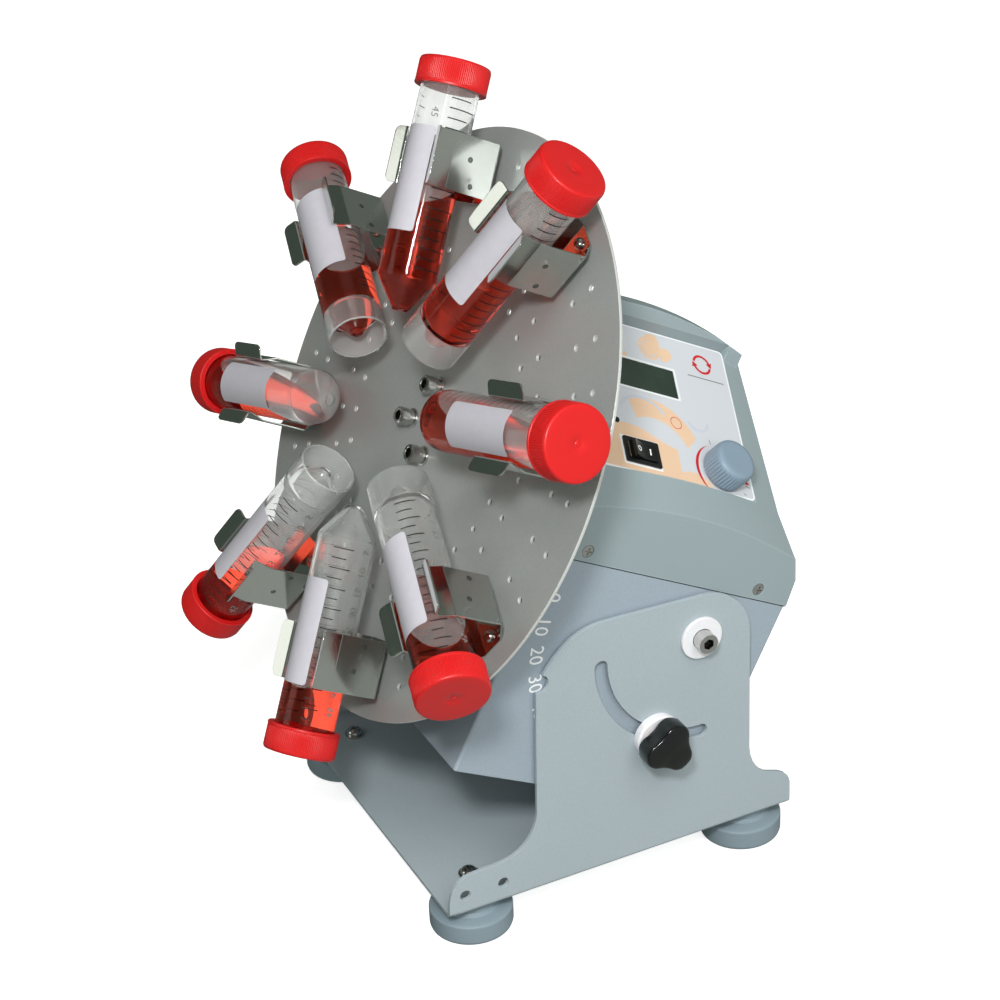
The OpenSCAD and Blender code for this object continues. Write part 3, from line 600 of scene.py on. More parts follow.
def clamp_knob():
    """three-lobed knob: rounded lobes, crowned face and a soft top edge"""
    M = HEAD @ T(0, -99.7, -53.6) @ R(90, 'X')
    n = 144

    def rad(a):
        # a circle of 13.4 cut by three wide, shallow arcs
        best = 13.4
        for i in range(3):
            b = math.radians(35 + 120 * i)
            cx, cy = 35 * math.cos(b), 35 * math.sin(b)
            d = math.cos(a) * cx + math.sin(a) * cy
            q = d * d - (35 ** 2 - 25.3 ** 2)
            if q > 0 and d > 0:
                t = d - math.sqrt(q)
                best = min(best, t)
        return best
    raw = [rad(2 * math.pi * i / n) for i in range(n)]
    sm = [sum(raw[(i + j) % n] for j in range(-5, 6)) / 11 for i in range(n)]
    levels = [(0, 0.55, 1), (0.02, 0.49, 1), (0.0, 6.5, 0)]
    V, F = [], []
    rings = []
    prof = [(5.2, 0.6, 2), (0.9, 1.6, 1), (0.3, 2.1, 1), (0.0, 2.9, 1), (0.0, 10.2, 1), (0.25, 11.1, 1), (0.8, 11.8, 1), (1.7, 12.15, 1), (3.4, 12.45, 1), (6.2, 12.75, 1), (9.5, 12.95, 1)]
    ids = []
    for j in range(n):
        a = 2 * math.pi * j / n
        ids.append(len(V)); V.append((6.5 * math.cos(a), 6.5 * math.sin(a), 0))
    rings.append(ids)
    for off, z, k in prof:
        ids = []
        for j in range(n):
            a = 2 * math.pi * j / n
            r = 6.5 if k == 2 else max(sm[j] - off, 0.5)
            ids.append(len(V)); V.append((r * math.cos(a), r * math.sin(a), z))
        rings.append(ids)
    for A, B in zip(rings, rings[1:]):
        for j in range(n):
            F.append((A[j], A[(j + 1) % n], B[(j + 1) % n], B[j]))
    top = len(V); V.append((0, 0, 13.0))
    for j in range(n):
        F.append((rings[-1][j], rings[-1][(j + 1) % n], top))
    bot = len(V); V.append((0, 0, 0))
    for j in range(n):
        F.append((rings[0][(j + 1) % n], rings[0][j], bot))
    make('clamp_knob_body', V, F, M, M_BLACK, 'clamp', 60, ('clamp_knob',))


clamp_knob()

# ------------------------------------------------------------------ control panel
X0, X1, Y0, Y1 = -84.2, 15.2, 22.4, 109.2
lcd = (-62.0, 72.2, -20.8, 88.6)
sw = (-63.0, 27.2, -42.0, 41.2)
plate('label_film_sheet', rrect(X0, Y0, X1, Y1, 2.6), [rrect(lcd[0] - 0.1, lcd[1] - 0.1, lcd[2] + 0.1, lcd[3] + 0.1, 0.3, 3), rrect(sw[0] + 0.05, sw[1] + 0.05, sw[2] - 0.05, sw[3] - 0.05, 0.3, 3), circle(-4.4, 34.3, 3.6, 48), circle(-63.9, 49.9, 1.6, 32)],
      -0.6, 0.0, PAN, [M_LABEL, M_LABEL_EDGE], 'head', 0.08, 1, ('label_panel',), edge_mat=True)


def print_(name, outline, mat, z=0.03, th=0.03, holes=(), body='head', M=PAN):
    return plate(name, outline, holes, z - th / 2, z + th / 2, M, mat, body, 0.004, 1)


def ring_pts(cx, cy, r, a0, a1, n=48):
    return [(cx + r * math.cos(math.radians(a0 + (a1 - a0) * i / n)), cy + r * math.sin(math.radians(a0 + (a1 - a0) * i / n))) for i in range(n + 1)]


def arc_band(cx, cy, r0, r1, a0, a1, n=48):
    return ring_pts(cx, cy, r1, a0, a1, n) + ring_pts(cx, cy, r0, a1, a0, n)


# white frame line round the film and the two cut-outs
print_('label_border', rrect(X0 + 0.1, Y0 + 0.1, X1 - 0.1, Y1 - 0.1, 2.5), M_LABEL_EDGE, 0.02, 0.02, [rrect(X0 + 0.9, Y0 + 0.9, X1 - 0.9, Y1 - 0.9, 1.9)])
print_('lcd_border', rrect(lcd[0] - 1.1, lcd[1] - 1.1, lcd[2] + 1.1, lcd[3] + 1.1, 0.5, 3), M_LABEL_EDGE, 0.05, 0.03, [rrect(lcd[0] - 0.1, lcd[1] - 0.1, lcd[2] + 0.1, lcd[3] + 0.1, 0.3, 3)])
print_('switch_border', rrect(sw[0] - 1.0, sw[1] - 1.0, sw[2] + 1.0, sw[3] + 1.0, 0.5, 3), M_LABEL_EDGE, 0.05, 0.03, [rrect(sw[0] + 0.1, sw[1] + 0.1, sw[2] - 0.1, sw[3] - 0.1, 0.3, 3)])

# generic peach and grey shapes: overlapping droplets and rolling bands
def wave(x0, x1, base, amp, period, ph, low, n=60):
    top = [(x0 + (x1 - x0) * i / n, base + amp * math.sin(2 * math.pi * ((x0 + (x1 - x0) * i / n) / period) + ph)) for i in range(n + 1)]
    return top + [(x1, low), (x0, low)]


def drop(cx, cy, r, ang, n=48):
    out = []
    for i in range(n):
        t = 2 * math.pi * i / n
        rr = r * (1 + 0.55 * max(0, math.cos(t)) ** 6)
        out.append((cx + rr * math.cos(t + math.radians(ang)), cy + rr * math.sin(t + math.radians(ang))))
    return out


print_('motif_band_low', [(p[0], min(max(p[1], Y0 + 0.9), Y1)) for p in wave(X0 + 0.9, -29, 45.5, 4.2, 62, 1.1, Y0 + 0.9)], M_PEACH, 0.02, 0.02)
print_('motif_band_mid', [(x, y) for x, y in (ring_pts(-41, 40, 27.5, 118, 22, 40) + ring_pts(-41, 36, 20.5, 22, 118, 40))], M_PEACH, 0.025, 0.02)
print_('motif_band_high', wave(X0 + 0.9, -49, 93.5, 3.0, 44, 0.4, 89.8), M_PEACH, 0.02, 0.02)
print_('motif_drop_1', drop(-33.5, 98.6, 6.6, 60), M_PEACH, 0.024, 0.02)
print_('motif_drop_1_ring', arc_band(-33.5, 98.4, 4.0, 4.7, 100, 330), M_PALE, 0.05, 0.02)
print_('motif_drop_2', drop(-23.5, 97.6, 3.6, 240), M_PEACH, 0.024, 0.02)
print_('motif_swirl_1', arc_band(-46, 51, 15.2, 16.9, 35, 150), M_PALE, 0.05, 0.02)
print_('motif_swirl_2', arc_band(-12, 62.5, 5.6, 7.2, 200, 352), M_PALE, 0.05, 0.02)
print_('motif_foot', [(p[0], max(p[1], Y0 + 0.9)) for p in ring_pts(-22, 17, 13.5, 155, 25, 30)] + [(-10, Y0 + 0.9), (-34, Y0 + 0.9)], M_PEACH, 0.022, 0.02)
print_('ring_mark', circle(-26.2, 57.2, 3.4, 48), M_PRINT_R, 0.07, 0.02, [circle(-26.2, 57.2, 3.05, 48)])
# generic turning-arrow sign in red with a thin rule under it
print_('arrow_arc_1', arc_band(-0.5, 97.5, 4.3, 5.6, 20, 165), M_PRINT_R, 0.05, 0.02)
print_('arrow_arc_2', arc_band(-0.5, 97.5, 4.3, 5.6, 200, 345), M_PRINT_R, 0.05, 0.02)
for i, a in enumerate((12, 192)):
    c = (-0.5 + 4.95 * math.cos(math.radians(a + 8)), 97.5 + 4.95 * math.sin(math.radians(a + 8)))
    d = math.radians(a - 90 + 8)
    tip = (c[0] + 3.0 * math.cos(d), c[1] + 3.0 * math.sin(d))
    px, py = math.cos(d + math.pi / 2), math.sin(d + math.pi / 2)
    print_('arrow_head_%d' % (i + 1), [tip, (c[0] + 2.0 * px, c[1] + 2.0 * py), (c[0] - 2.0 * px, c[1] - 2.0 * py)], M_PRINT_R, 0.052, 0.02)
print_('rule_line', rrect(-11.5, 88.7, 11.5, 89.3, 0.25, 3), M_PRINT_G, 0.05, 0.02)
# dial marks round the speed knob, the red crescent and a small pointer
print_('knob_crescent', [(-4.4 + r * math.cos(a), 34.3 + r * math.sin(a)) for r, a in
       [(14.7, math.radians(t)) for t in range(108, 243, 5)]] + [(-4.4 + r * math.cos(math.radians(t)), 34.3 + r * math.sin(math.radians(t))) for t, r in [(t, 14.7 - 1.7 * math.sin(math.radians((t - 108) / 132 * 180))) for t in range(238, 110, -5)]], M_PRINT_R, 0.06, 0.02)
for i in range(9):
    a = math.radians(98 - i * 19)
    c0, s0 = math.cos(a), math.sin(a)
    r0, r1, w = 15.6, (18.2 if i % 2 == 0 else 17.2), 0.24
    print_('dial_mark_%d' % (i + 1), [(-4.4 + r0 * c0 - w * s0, 34.3 + r0 * s0 + w * c0), (-4.4 + r1 * c0 - w * s0, 34.3 + r1 * s0 + w * c0), (-4.4 + r1 * c0 + w * s0, 34.3 + r1 * s0 - w * c0), (-4.4 + r0 * c0 + w * s0, 34.3 + r0 * s0 - w * c0)], M_PRINT_G, 0.05, 0.02)
print_('pointer_mark', [(10.2, 31.0), (13.2, 31.0), (11.7, 33.6)], M_PRINT_R, 0.06, 0.02)

# display: sunken tinted window in a dark frame
plate('lcd_window_glass', rrect(lcd[0] + 0.1, lcd[1] + 0.1, lcd[2] - 0.1, lcd[3] - 0.1, 0.3, 3), [], -1.6, -0.12, PAN, M_LCD, 'head', 0.12, 2, ('lcd_window',))
soften('display_module', M_BOARD, 'head', 0.1, 1, 35)
# switch
plate('switch_bezel', rrect(sw[0], sw[1], sw[2], sw[3], 0.8, 4), [rrect(-60.4, 29.4, -44.6, 39.0, 0.5, 3)], 0.02, 1.3, PAN, M_BLACK, 'head', 0.35, 3, ('switch_housing',))
plate('switch_box', rrect(-61.6, 28.6, -43.4, 39.8, 0.6, 3), [rrect(-60.4, 29.4, -44.6, 39.0, 0.5, 3)], -14.5, 0.05, PAN, M_BLACK, 'head', 0.05, 1)
plate('switch_floor', rrect(-60.6, 29.2, -44.4, 39.2, 0.5, 3), [], -16.0, -5.0, PAN, M_BLACK, 'head', 0.1, 1)


def rocker():
    M = PAN @ T(-52.5, 34.2, 0) @ R(90, 'X') @ T(0, 0, -4.5) @ R(-9, 'Z')
    up = []
    for i in range(25):
        x = -7.0 + 14.0 * i / 24
        y = 2.0 + 1.35 * (abs(x) / 6.6) ** 1.6 if abs(x) > 0.35 else 1.95
        up.append((x, y))
    out = fillet([(2.5, -3.6), (7.0, -0.8), (7.2, 2.6)], [0.6, 0.6, 0.5], 3) + [(p[0], p[1]) for p in reversed(up)] + fillet([(-7.2, 2.6), (-7.0, -0.8), (-2.5, -3.6)], [0.5, 0.6, 0.6], 3)
    plate('rocker_body', out, [], 0.0, 9.0, M, M_BLACK, 'rocker', 0.3, 3, ('rocker',), smooth=30)
    # white I and O on the two faces
    MR = PAN @ T(-52.5, 34.2, 0) @ R(90, 'X') @ R(-9, 'Z') @ R(-90, 'X')
    # in MR: X along the rocker, Y to the operator's far side, Z up off the face
    F1 = MR @ T(3.6, 0, 2.56) @ R(-12, 'Y')
    F2 = MR @ T(-3.8, 0, 2.60) @ R(12, 'Y')
    plate('rocker_mark_I', rrect(-0.35, -1.7, 0.35, 1.7, 0.15, 2), [], 0, 0.12, F1, M_PRINT_W, 'rocker', 0.02, 1)
    plate('rocker_mark_O', circle(0, 0, 1.5, 32), [circle(0, 0, 0.95, 32)], 0, 0.12, F2, M_PRINT_W, 'rocker', 0.02, 1)


rocker()
# status lamp
V, F = lathe([(0, -6), (1.5, -6), (1.5, 0.1), (1.38, 0.55), (1.05, 0.82), (0.55, 1.0), (0, 1.05)], 32)
make('status_lamp', V, F, PAN @ T(-63.9, 49.9, 0), M_BLACK, 'head', 50, ('status_led',), merge=0.001)
soften('encoder', M_ENCODER, 'head', 0.15, 2, 35)
soften('encoder_shaft', M_SCREW, 'knob_shaft', 0.2, 2, 35)


def speed_knob():
    """fluted knob: 40 rounded flutes, smooth top band, slightly dished face"""
    M = PAN @ T(-4.4, 34.3, 1.2)
    seg = 320
    prof = [(0, 8.0), (3.04, 8.0), (3.04, 1.2), (5.0, 1.2), (5.0, 0.0), (10.4, 0.0), (10.9, 0.25), (11.1, 0.7), (11.15, 1.2), (11.15, 3), (11.15, 6), (11.15, 9.2), (11.05, 10.2), (10.8, 11.1), (10.3, 11.75), (9.6, 12.15), (8.6, 12.38), (7.0, 12.4), (4.0, 12.25), (0, 12.15)]

    def rm(r, z, a):
        if r < 10.7:
            return r
        f = 1.0 if 0.9 < z < 9.6 else 0.0
        if z <= 0.9:
            f = max(0, (z - 0.4) / 0.5)
        if z >= 9.6:
            f = max(0, (10.6 - z) / 1.0)
        u = (a * 40 / (2 * math.pi)) % 1.0
        g = abs(math.sin(math.pi * u)) ** 0.7
        return r + f * (0.25 - 0.62 * (1 - g))
    V, F = lathe(prof, seg, rm)
    make('speed_knob_body', V, F, M, M_KNOB, 'knob', 50, ('speed_knob',), merge=0.001)


speed_knob()

# scale numbers on the operator's side
def text_mesh(txt, size, ext=0.03, align='CENTER', res=3):
    cu = bpy.data.curves.new('t', 'FONT')
    cu.body = txt; cu.size = size; cu.align_x = align; cu.align_y = 'CENTER'; cu.extrude = ext; cu.resolution_u = res
    cu.space_character = 1.0
    ob = bpy.data.objects.new('t', cu)
    bpy.context.scene.collection.objects.link(ob)
    bpy.context.view_layer.update()
    me = bpy.data.meshes.new_from_object(ob.evaluated_get(bpy.context.evaluated_depsgraph_get()))
    bpy.data.objects.remove(ob); bpy.data.curves.remove(cu)
    return me


for N in range(0, 91, 10):
    me = text_mesh(str(N), 10.0, 0.03)
    a = math.radians(178 + N)
    # X along the text runs down the arc, Y towards the pivot, Z out of the side
    pos = Vector((86.8 * math.cos(a), -91.35, 86.8 * math.sin(a)))
    up = Vector((-math.cos(a), 0, -math.sin(a)))
    out = Vector((0, -1, 0))
    xx = up.cross(out)
    Mx = Matrix((( xx.x, up.x, out.x, pos.x * S), (xx.y, up.y, out.y, pos.y * S), (xx.z, up.z, out.z, pos.z * S), (0, 0, 0, 1)))
    Mt = HEAD @ Mx @ Matrix.Scale(S, 4)
    me.transform(Mt)
    me.name = 'scale_number_%d' % N
    finish_obj(me.name, me, M_PRINT_W, 'head', 0)

# ------------------------------------------------------------------ inner works
soften('control_board', M_BOARD, 'head', 0.12, 1, 35)
soften('board_posts', M_SCREW, 'head', 0.15, 1, 35)
soften('power_jack', M_BLACK, 'head', 0.2, 2, 35)
soften('gearbox', M_ALLOY, 'head', 0.4, 2, 35)
soften('motor', M_MOTOR, 'head', 0.5, 3, 35)
soften('motor_bracket', M_BRACKET, 'head', 0.25, 2, 35)
soften('motor_screws', M_SCREW, 'head', 0.2, 2, 35)
soften('bracket_screws', M_SCREW, 'head', 0.1, 2, 35)
soften('bearing_housing', M_ALLOY, 'head', 0.3, 2, 35)
soften('shaft_bearings', M_BEARING, 'head', 0.15, 2, 35)
soften('drive_shaft', M_SCREW, 'rotor', 0.3, 2, 35)
soften('shaft_coupling', M_ALLOY, 'rotor', 0.3, 2, 35)
soften('disc_hub', M_ALLOY, 'rotor', 0.4, 2, 35)

# ------------------------------------------------------------------ disc
holes = []
for r in (71.5, 85):
    for i in range(28):
        a = math.radians(18.2 + i * 360 / 28)
        holes.append(circle(r * math.cos(a), r * math.sin(a), 1.5, 20))
for r in (112.7, 126.3):
    for i in range(32):
        a = math.radians(18.2 + i * 11.25)
        holes.append(circle(r * math.cos(a), r * math.sin(a), 1.5, 20))
for i in range(4):
    a = math.radians(18.2 + 90 * i)
    holes.append(circle(16.7 * math.cos(a), 16.7 * math.sin(a), 2.55, 24))
plate('disc_sheet', circle(0, 0, 143.4, 320), holes, -1.5, 0, ROT, [M_DISC, M_RIM], 'rotor', 0.2, 2, ('disc',), edge_mat=True)


# hub screws: knurled socket heads on a washer and a spacer
def hub_screw(i):
    a = math.radians(18.2 + 90 * i)
    M = ROT @ T(16.7 * math.cos(a), 16.7 * math.sin(a), 0) @ R(18.2 + 90 * i + 20, 'Z')
    V, F = lathe(fillet([(2.55, 0), (4.9, 0), (4.9, 1.0), (2.55, 1.0)], 0.2, 3, True), 64)
    make('hub_washer_%d' % (i + 1), V, F, M, M_SCREW, 'rotor', 40, ('hub_washers',))
    V, F = lathe(fillet([(2.55, 1.02), (3.9, 1.02), (3.9, 3.88), (2.55, 3.88)], 0.25, 3, True), 64)
    make('hub_spacer_%d' % (i + 1), V, F, M, M_SCREW, 'rotor', 40)
    seg = 192

    def kn(r, z, a_):
        if r > 4.1 and 4.3 < z < 8.2:
            return r - 0.14 * (0.5 - 0.5 * math.cos(a_ * 32))
        return r
    head = [(2.45, -14), (2.45, 3.9), (3.9, 3.9), (4.2, 4.1), (4.25, 4.5), (4.25, 6.2), (4.25, 8.0), (4.1, 8.5), (3.7, 8.85), (3.0, 8.9), (2.62, 8.85)]
    V, F = lathe(head, seg, kn, closed=False)
    # hexagon socket
    base = len(V) - seg
    def hexr(a_, ap):
        b = (a_ + math.pi / 6) % (math.pi / 3) - math.pi / 6
        return ap / math.cos(b)
    prev = [base + j for j in range(seg)]
    for z, ap, rnd in ((8.6, 2.25, 0), (6.0, 2.2, 0)):
        ids = []
        for j in range(seg):
            a_ = 2 * math.pi * j / seg
            r = min(hexr(a_, ap), 2.6)
            ids.append(len(V)); V.append((r * math.cos(a_), r * math.sin(a_), z))
        for j in range(seg):
            k = (j + 1) % seg
            F.append((prev[j], prev[k], ids[k], ids[j]))
        prev = ids
    c = len(V); V.append((0, 0, 5.4))
    for j in range(seg):
        F.append((prev[j], prev[(j + 1) % seg], c))
    c = len(V); V.append((0, 0, -14))
    for j in range(seg):
        F.append((j, (j + 1) % seg, c))
    o = make('hub_screw_%d' % (i + 1), V, F, M, [M_SCREW, M_SOCKET_PAINTED_SHADE], 'rotor', 32, ('hub_screws',))
    # the socket's inner faces take the near-black steel: painted shade in the socket
    MI = M.inverted()
    for p in o.data.polygons:
        c_ = (MI @ p.center) / S
        if c_.xy.length < 2.5 and 5.0 < c_.z < 8.55:
            p.material_index = 1


for i in range(4):
    hub_screw(i)


# ------------------------------------------------------------------ clips
def clip(k):
    """one bent spring-steel clip, swept as a sheet with real bend radii"""
    M = ROT @ R(18.2 + 45 * k, 'Z')
    half = [(0, 0.4), (6, 0.4), (15.9, 6.5), (15.9, 31), (12.9, 39.8), (20.23, 42.47)]
    full = [(-x, y) for x, y in reversed(half[1:])] + half
    rad = [0, 1.3, 2.0, 1.6, 1.2, 0, 1.2, 1.6, 2.0, 1.3, 0]
    line = fillet(full, rad, 5)
    # resample so the round corners of the tabs have points
    pts = []
    for i in range(len(line) - 1):
        a, b = Vector(line[i]), Vector(line[i + 1])
        L = (b - a).length
        n = max(1, int(L / (0.6 if i in (0, len(line) - 2) else 3.0)))
        for j in range(n):
            pts.append(a + (b - a) * j / n)
    pts.append(Vector(line[-1]))
    s = [0.0]
    for a, b in zip(pts, pts[1:]):
        s.append(s[-1] + (b - a).length)
    tot = s[-1]
    V, F = [], []
    cols = 9
    for q, t in zip(pts, s):
        e = min(t, tot - t)
        hw = 13.5
        if e < 3.0:
            hw = 13.5 - (3 - math.sqrt(max(0.0, 9 - (3 - e) ** 2)))
        for c in range(cols):
            V.append((119 - hw + 2 * hw * c / (cols - 1), q[0], q[1]))
    for i in range(len(pts) - 1):
        for c in range(cols - 1):
            b = i * cols + c
            F.append((b, b + 1, b + cols + 1, b + cols))
    o = make('tube_clip_%d' % (k + 1), V, F, M, M_CLIP, 'rotor', 0, ('tube_clips',))
    o.data.shade_smooth()
    so = o.modifiers.new('sheet', 'SOLIDIFY'); so.thickness = 0.8 * S; so.offset = 0; so.use_even_offset = True
    bv = o.modifiers.new('edge', 'BEVEL'); bv.width = 0.12 * S; bv.segments = 2; bv.limit_method = 'ANGLE'; bv.angle_limit = math.radians(50)
    wn = o.modifiers.new('wn', 'WEIGHTED_NORMAL')
    # two spot-weld marks on each wall, in and out
    for sgn in (-1, 1):
        for dd, nn in ((109.5, 18.0), (121.5, 21.0)):
            for side in (0.4, -0.4):
                off = 15.9 + side
                MM = M @ T(dd, sgn * off, nn) @ R(-90 * sgn if side > 0 else 90 * sgn, 'X')
                V, F = lathe([(0, -0.05), (1.35, -0.05), (1.35, 0.02), (1.1, 0.07), (0.6, 0.02), (0, -0.01)], 24)
                make('clip_weld_%d_%d' % (k + 1, int(nn * 10 + (sgn + 1) * 2 + (side > 0))), V, F, MM, M_DOT, 'rotor', 60, merge=0.001)


for k in range(8):
    clip(k)


def pan_screw(name, M, r, h, shaft, sl, body, repl=(), cross=0.62):
    """pan head with a cross recess"""
    seg = 48
    prof = [(shaft, -sl), (shaft, 0.0), (r - 0.15, 0.0), (r, 0.15), (r, h * 0.38), (r * 0.93, h * 0.62), (r * 0.74, h * 0.85), (r * 0.5, h * 0.96)]
    V, F = lathe(prof, seg, closed=False)
    prev = [len(V) - seg + j for j in range(seg)]
    for z, f in ((h * 0.93, 1.0), (h * 0.45, 0.75)):
        ids = []
        for j in range(seg):
            a = 2 * math.pi * j / seg
            # cross-shaped outline
            w = r * 0.14
            L = r * cross * f
            ca, sa = abs(math.cos(a)), abs(math.sin(a))
            m = min(ca, sa)
            M_ = max(ca, sa)
            rr = min(L / max(M_, 1e-6), w / max(m, 1e-6))
            rr = max(rr, w * 1.15)
            ids.append(len(V)); V.append((rr * math.cos(a), rr * math.sin(a), z))
        for j in range(seg):
            q = (j + 1) % seg
            F.append((prev[j], prev[q], ids[q], ids[j]))
        prev = ids
    c = len(V); V.append((0, 0, h * 0.3))
    for j in range(seg):
        F.append((prev[j], prev[(j + 1) % seg], c))
    c = len(V); V.append((0, 0, -sl))
    for j in range(seg):
        F.append((j, (j + 1) % seg, c))
    return make(name, V, F, M, M_SCREW, body, 32, repl)


n = 0
for k in range(8):
    for r in (112.7, 126.3):
        n += 1
        M = ROT @ R(18.2 + 45 * k, 'Z') @ T(r, 0, 0.8) @ R(17 * n, 'Z')
        pan_screw('clip_screw_%d' % n, M, 2.8, 2.1, 1.45, 5.4, 'rotor', repl=('clip_screws',))

# ------------------------------------------------------------------ tubes
TT = [(0, 46.4, 165.2), (1, 45.6, 164.4), (0, 46.2, 165), (1, 46.6, 165.4), (0, 46.4, 165.2), (1, 45.2, 164), (0, 45.2, 164), (1, 44.8, 163.6)]
LEVEL = {1: 334.5, 2: 331, 3: 276.5, 4: 199.5, 5: 141.5, 6: 153.3, 7: 218, 8: 288.5}
TURN = {1: 0, 2: 2, 3: 3, 4: 0, 5: -3, 6: 16, 7: -7, 8: 14}
ro, ri = 14.1, 12.9


def outer_prof(k):
    st, z0, z1 = TT[k - 1]
    rim = z1 - 1.6
    if st == 0:
        return fillet([(0, z0), (3.2, z0), (4.0, z0 + 0.9), (ro - 0.3, z0 + 15.0), (ro, z0 + 16.8), (ro, rim - 13.2), (ro + 0.01, rim - 12), (ro, rim), (ri, rim), (ri, z0 + 17.8), (ri - 0.25, z0 + 16.2), (2.6, z0 + 2.3), (0, z0 + 1.5)],
                      [0, 0.9, 0.9, 0.5, 0.8, 0, 0, 0.4, 0.4, 3, 1.5, 1.4, 0], 5)
    c = z0 + 2.4
    return fillet([(13.35, z0), (14.45, z0), (14.45, z0 + 14), (ro, z0 + 19), (ro, rim), (ri, rim), (ri, z0 + 18.6), (ri - 0.3, z0 + 17.2), (2.0, c + 2.6), (0, c + 1.8), (0, c), (2.4, c), (3.4, c + 1.2), (11.9, z0 + 15.0), (13.35, z0 + 15.6)],
                  [0.45, 0.5, 3, 3, 0.4, 0.4, 3, 1.5, 1.4, 0, 0, 0.9, 0.9, 1.5, 1.0], 5, True)


def inner_prof(k):
    """space inside the tube, slightly into the wall"""
    st, z0, z1 = TT[k - 1]
    g = 0.08
    b = z0 + 1.5 if st == 0 else z0 + 4.2
    zz = z0 + 17.8 if st == 0 else z0 + 18.6
    tip = (2.6 if st == 0 else 2.0, b + 0.8)
    lo = 1.6 if st == 0 else 1.4
    return fillet([(0, b - g), (tip[0] + g, tip[1] - g), (ri - 0.25 + g, zz - lo), (ri + g, zz), (ri + g, z1 - 2.0), (0, z1 - 2.0)], [0, 1.4, 1.5, 3, 0, 0], 5)


def tube(k):
    M = TUBE(k)
    b = 'tube_%d_b' % k
    V, F = lathe(outer_prof(k), 128, closed=TT[k - 1][0] == 1)
    o = make('tube_%d_body' % k, V, F, M, [M_CLEAR, M_HAZE], b, 30, ('tube_%d' % k,), merge=0.001)
    MI = M.inverted()
    bm = bmesh.new(); bm.from_mesh(o.data)
    bmesh.ops.bisect_plane(bm, geom=bm.verts[:] + bm.edges[:] + bm.faces[:], dist=1e-7, plane_co=(0, 0, LEVEL[k] * S), plane_no=(0, 0, 1))
    bm.to_mesh(o.data); bm.free()
    o.data.set_sharp_from_angle(angle=math.radians(30))
    for p in o.data.polygons:
        if p.center.z < LEVEL[k] * S and ((MI @ p.center).xy.length / S < 13.6) and (MI @ p.center).z / S > TT[k - 1][1] + 3.6 * TT[k - 1][0] + 1.2 and (MI.to_3x3() @ p.normal).dot(Vector(((MI @ p.center).x, (MI @ p.center).y, 0)).normalized()) < 0 and not (TT[k - 1][0] == 1 and (MI @ p.center).z / S < TT[k - 1][1] + 15.6 and (MI @ p.center).xy.length / S > 13.2):
            continue
        c_ = MI @ p.center
        n_ = MI.to_3x3() @ p.normal
        rad_ = Vector((c_.x, c_.y, 0))
        if rad_.length > 1e-5 and (n_.dot(rad_.normalized()) < -0.2 or (c_.z / S < TT[k - 1][1] + 0.8 and TT[k - 1][0] == 1)):
            p.material_index = 1
    # liquid: the inside, cut level with the bench
    V, F = lathe(inner_prof(k), 128, closed=False)
    me = bpy.data.meshes.new('liquid_%d' % k)
    me.from_pydata([tuple(M @ (Vector(v) * S)) for v in V], [], F)
    bm = bmesh.new(); bm.from_mesh(me)
    bmesh.ops.remove_doubles(bm, verts=bm.verts, dist=1e-6)
    h = LEVEL[k] * S
    geom = bm.verts[:] + bm.edges[:] + bm.faces[:]
    bmesh.ops.bisect_plane(bm, geom=geom, dist=1e-7, plane_co=(0, 0, h), plane_no=(0, 0, 1), clear_outer=True)
    edges = [e for e in bm.edges if e.is_boundary and abs(e.verts[0].co.z - h) < 2e-6 and abs(e.verts[1].co.z - h) < 2e-6]
    if edges:
        r = bmesh.ops.contextual_create(bm, geom=edges)
        top = [f for f in r['faces']]
        if top:
            # a small meniscus: the surface dips just inside the wall
            ins = bmesh.ops.inset_region(bm, faces=top, thickness=0.0009, depth=-0.00045, use_even_offset=False)
            bmesh.ops.triangulate(bm, faces=[f for f in top if f.is_valid])
    bmesh.ops.holes_fill(bm, edges=[e for e in bm.edges if e.is_boundary], sides=0)
    bmesh.ops.recalc_face_normals(bm, faces=bm.faces)
    bm.to_mesh(me); bm.free()
    finish_obj('liquid_%d' % k, me, M_LIQ, b, 32)
    prints(k, M, b)


def cyl_grid(name, a0, a1, z0, z1, r, th, M, mat, body, corner=0.0, na=None, nz=None):
    """thin printed patch wrapped on a cylinder; angles in degrees from the side away from the disc"""
    R_ = r
    w = math.radians(a1 - a0) * R_
    hgt = z1 - z0
    if corner > 0:
        out = rrect(0, 0, w, hgt, corner, 5)
    else:
        out = [(0, 0), (w, 0), (w, hgt), (0, hgt)]
    # strips across the width so the surface bends
    bm = bmesh.new()
    vs = [bm.verts.new((x, y, 0)) for x, y in out]
    bm.faces.new(vs)
    steps = max(2, int(abs(a1 - a0) / 4))
    for i in range(1, steps):
        x = w * i / steps
        bmesh.ops.bisect_plane(bm, geom=bm.verts[:] + bm.edges[:] + bm.faces[:], plane_co=(x, 0, 0), plane_no=(1, 0, 0))
    ex = bmesh.ops.extrude_face_region(bm, geom=bm.faces[:])
    for v in ex['geom']:
        if isinstance(v, bmesh.types.BMVert):
            v.co.z += th
    bmesh.ops.recalc_face_normals(bm, faces=bm.faces)
    for v in bm.verts:
        a = math.radians(a0) + v.co.x / R_
        rr = R_ + v.co.z
        # angle from -X, positive towards -Y
        v.co = M @ Vector((-rr * math.cos(a) * S, -rr * math.sin(a) * S, (z0 + v.co.y) * S))
    me = bpy.data.meshes.new(name)
    bm.to_mesh(me); bm.free()
    return finish_obj(name, me, mat, body, 40)


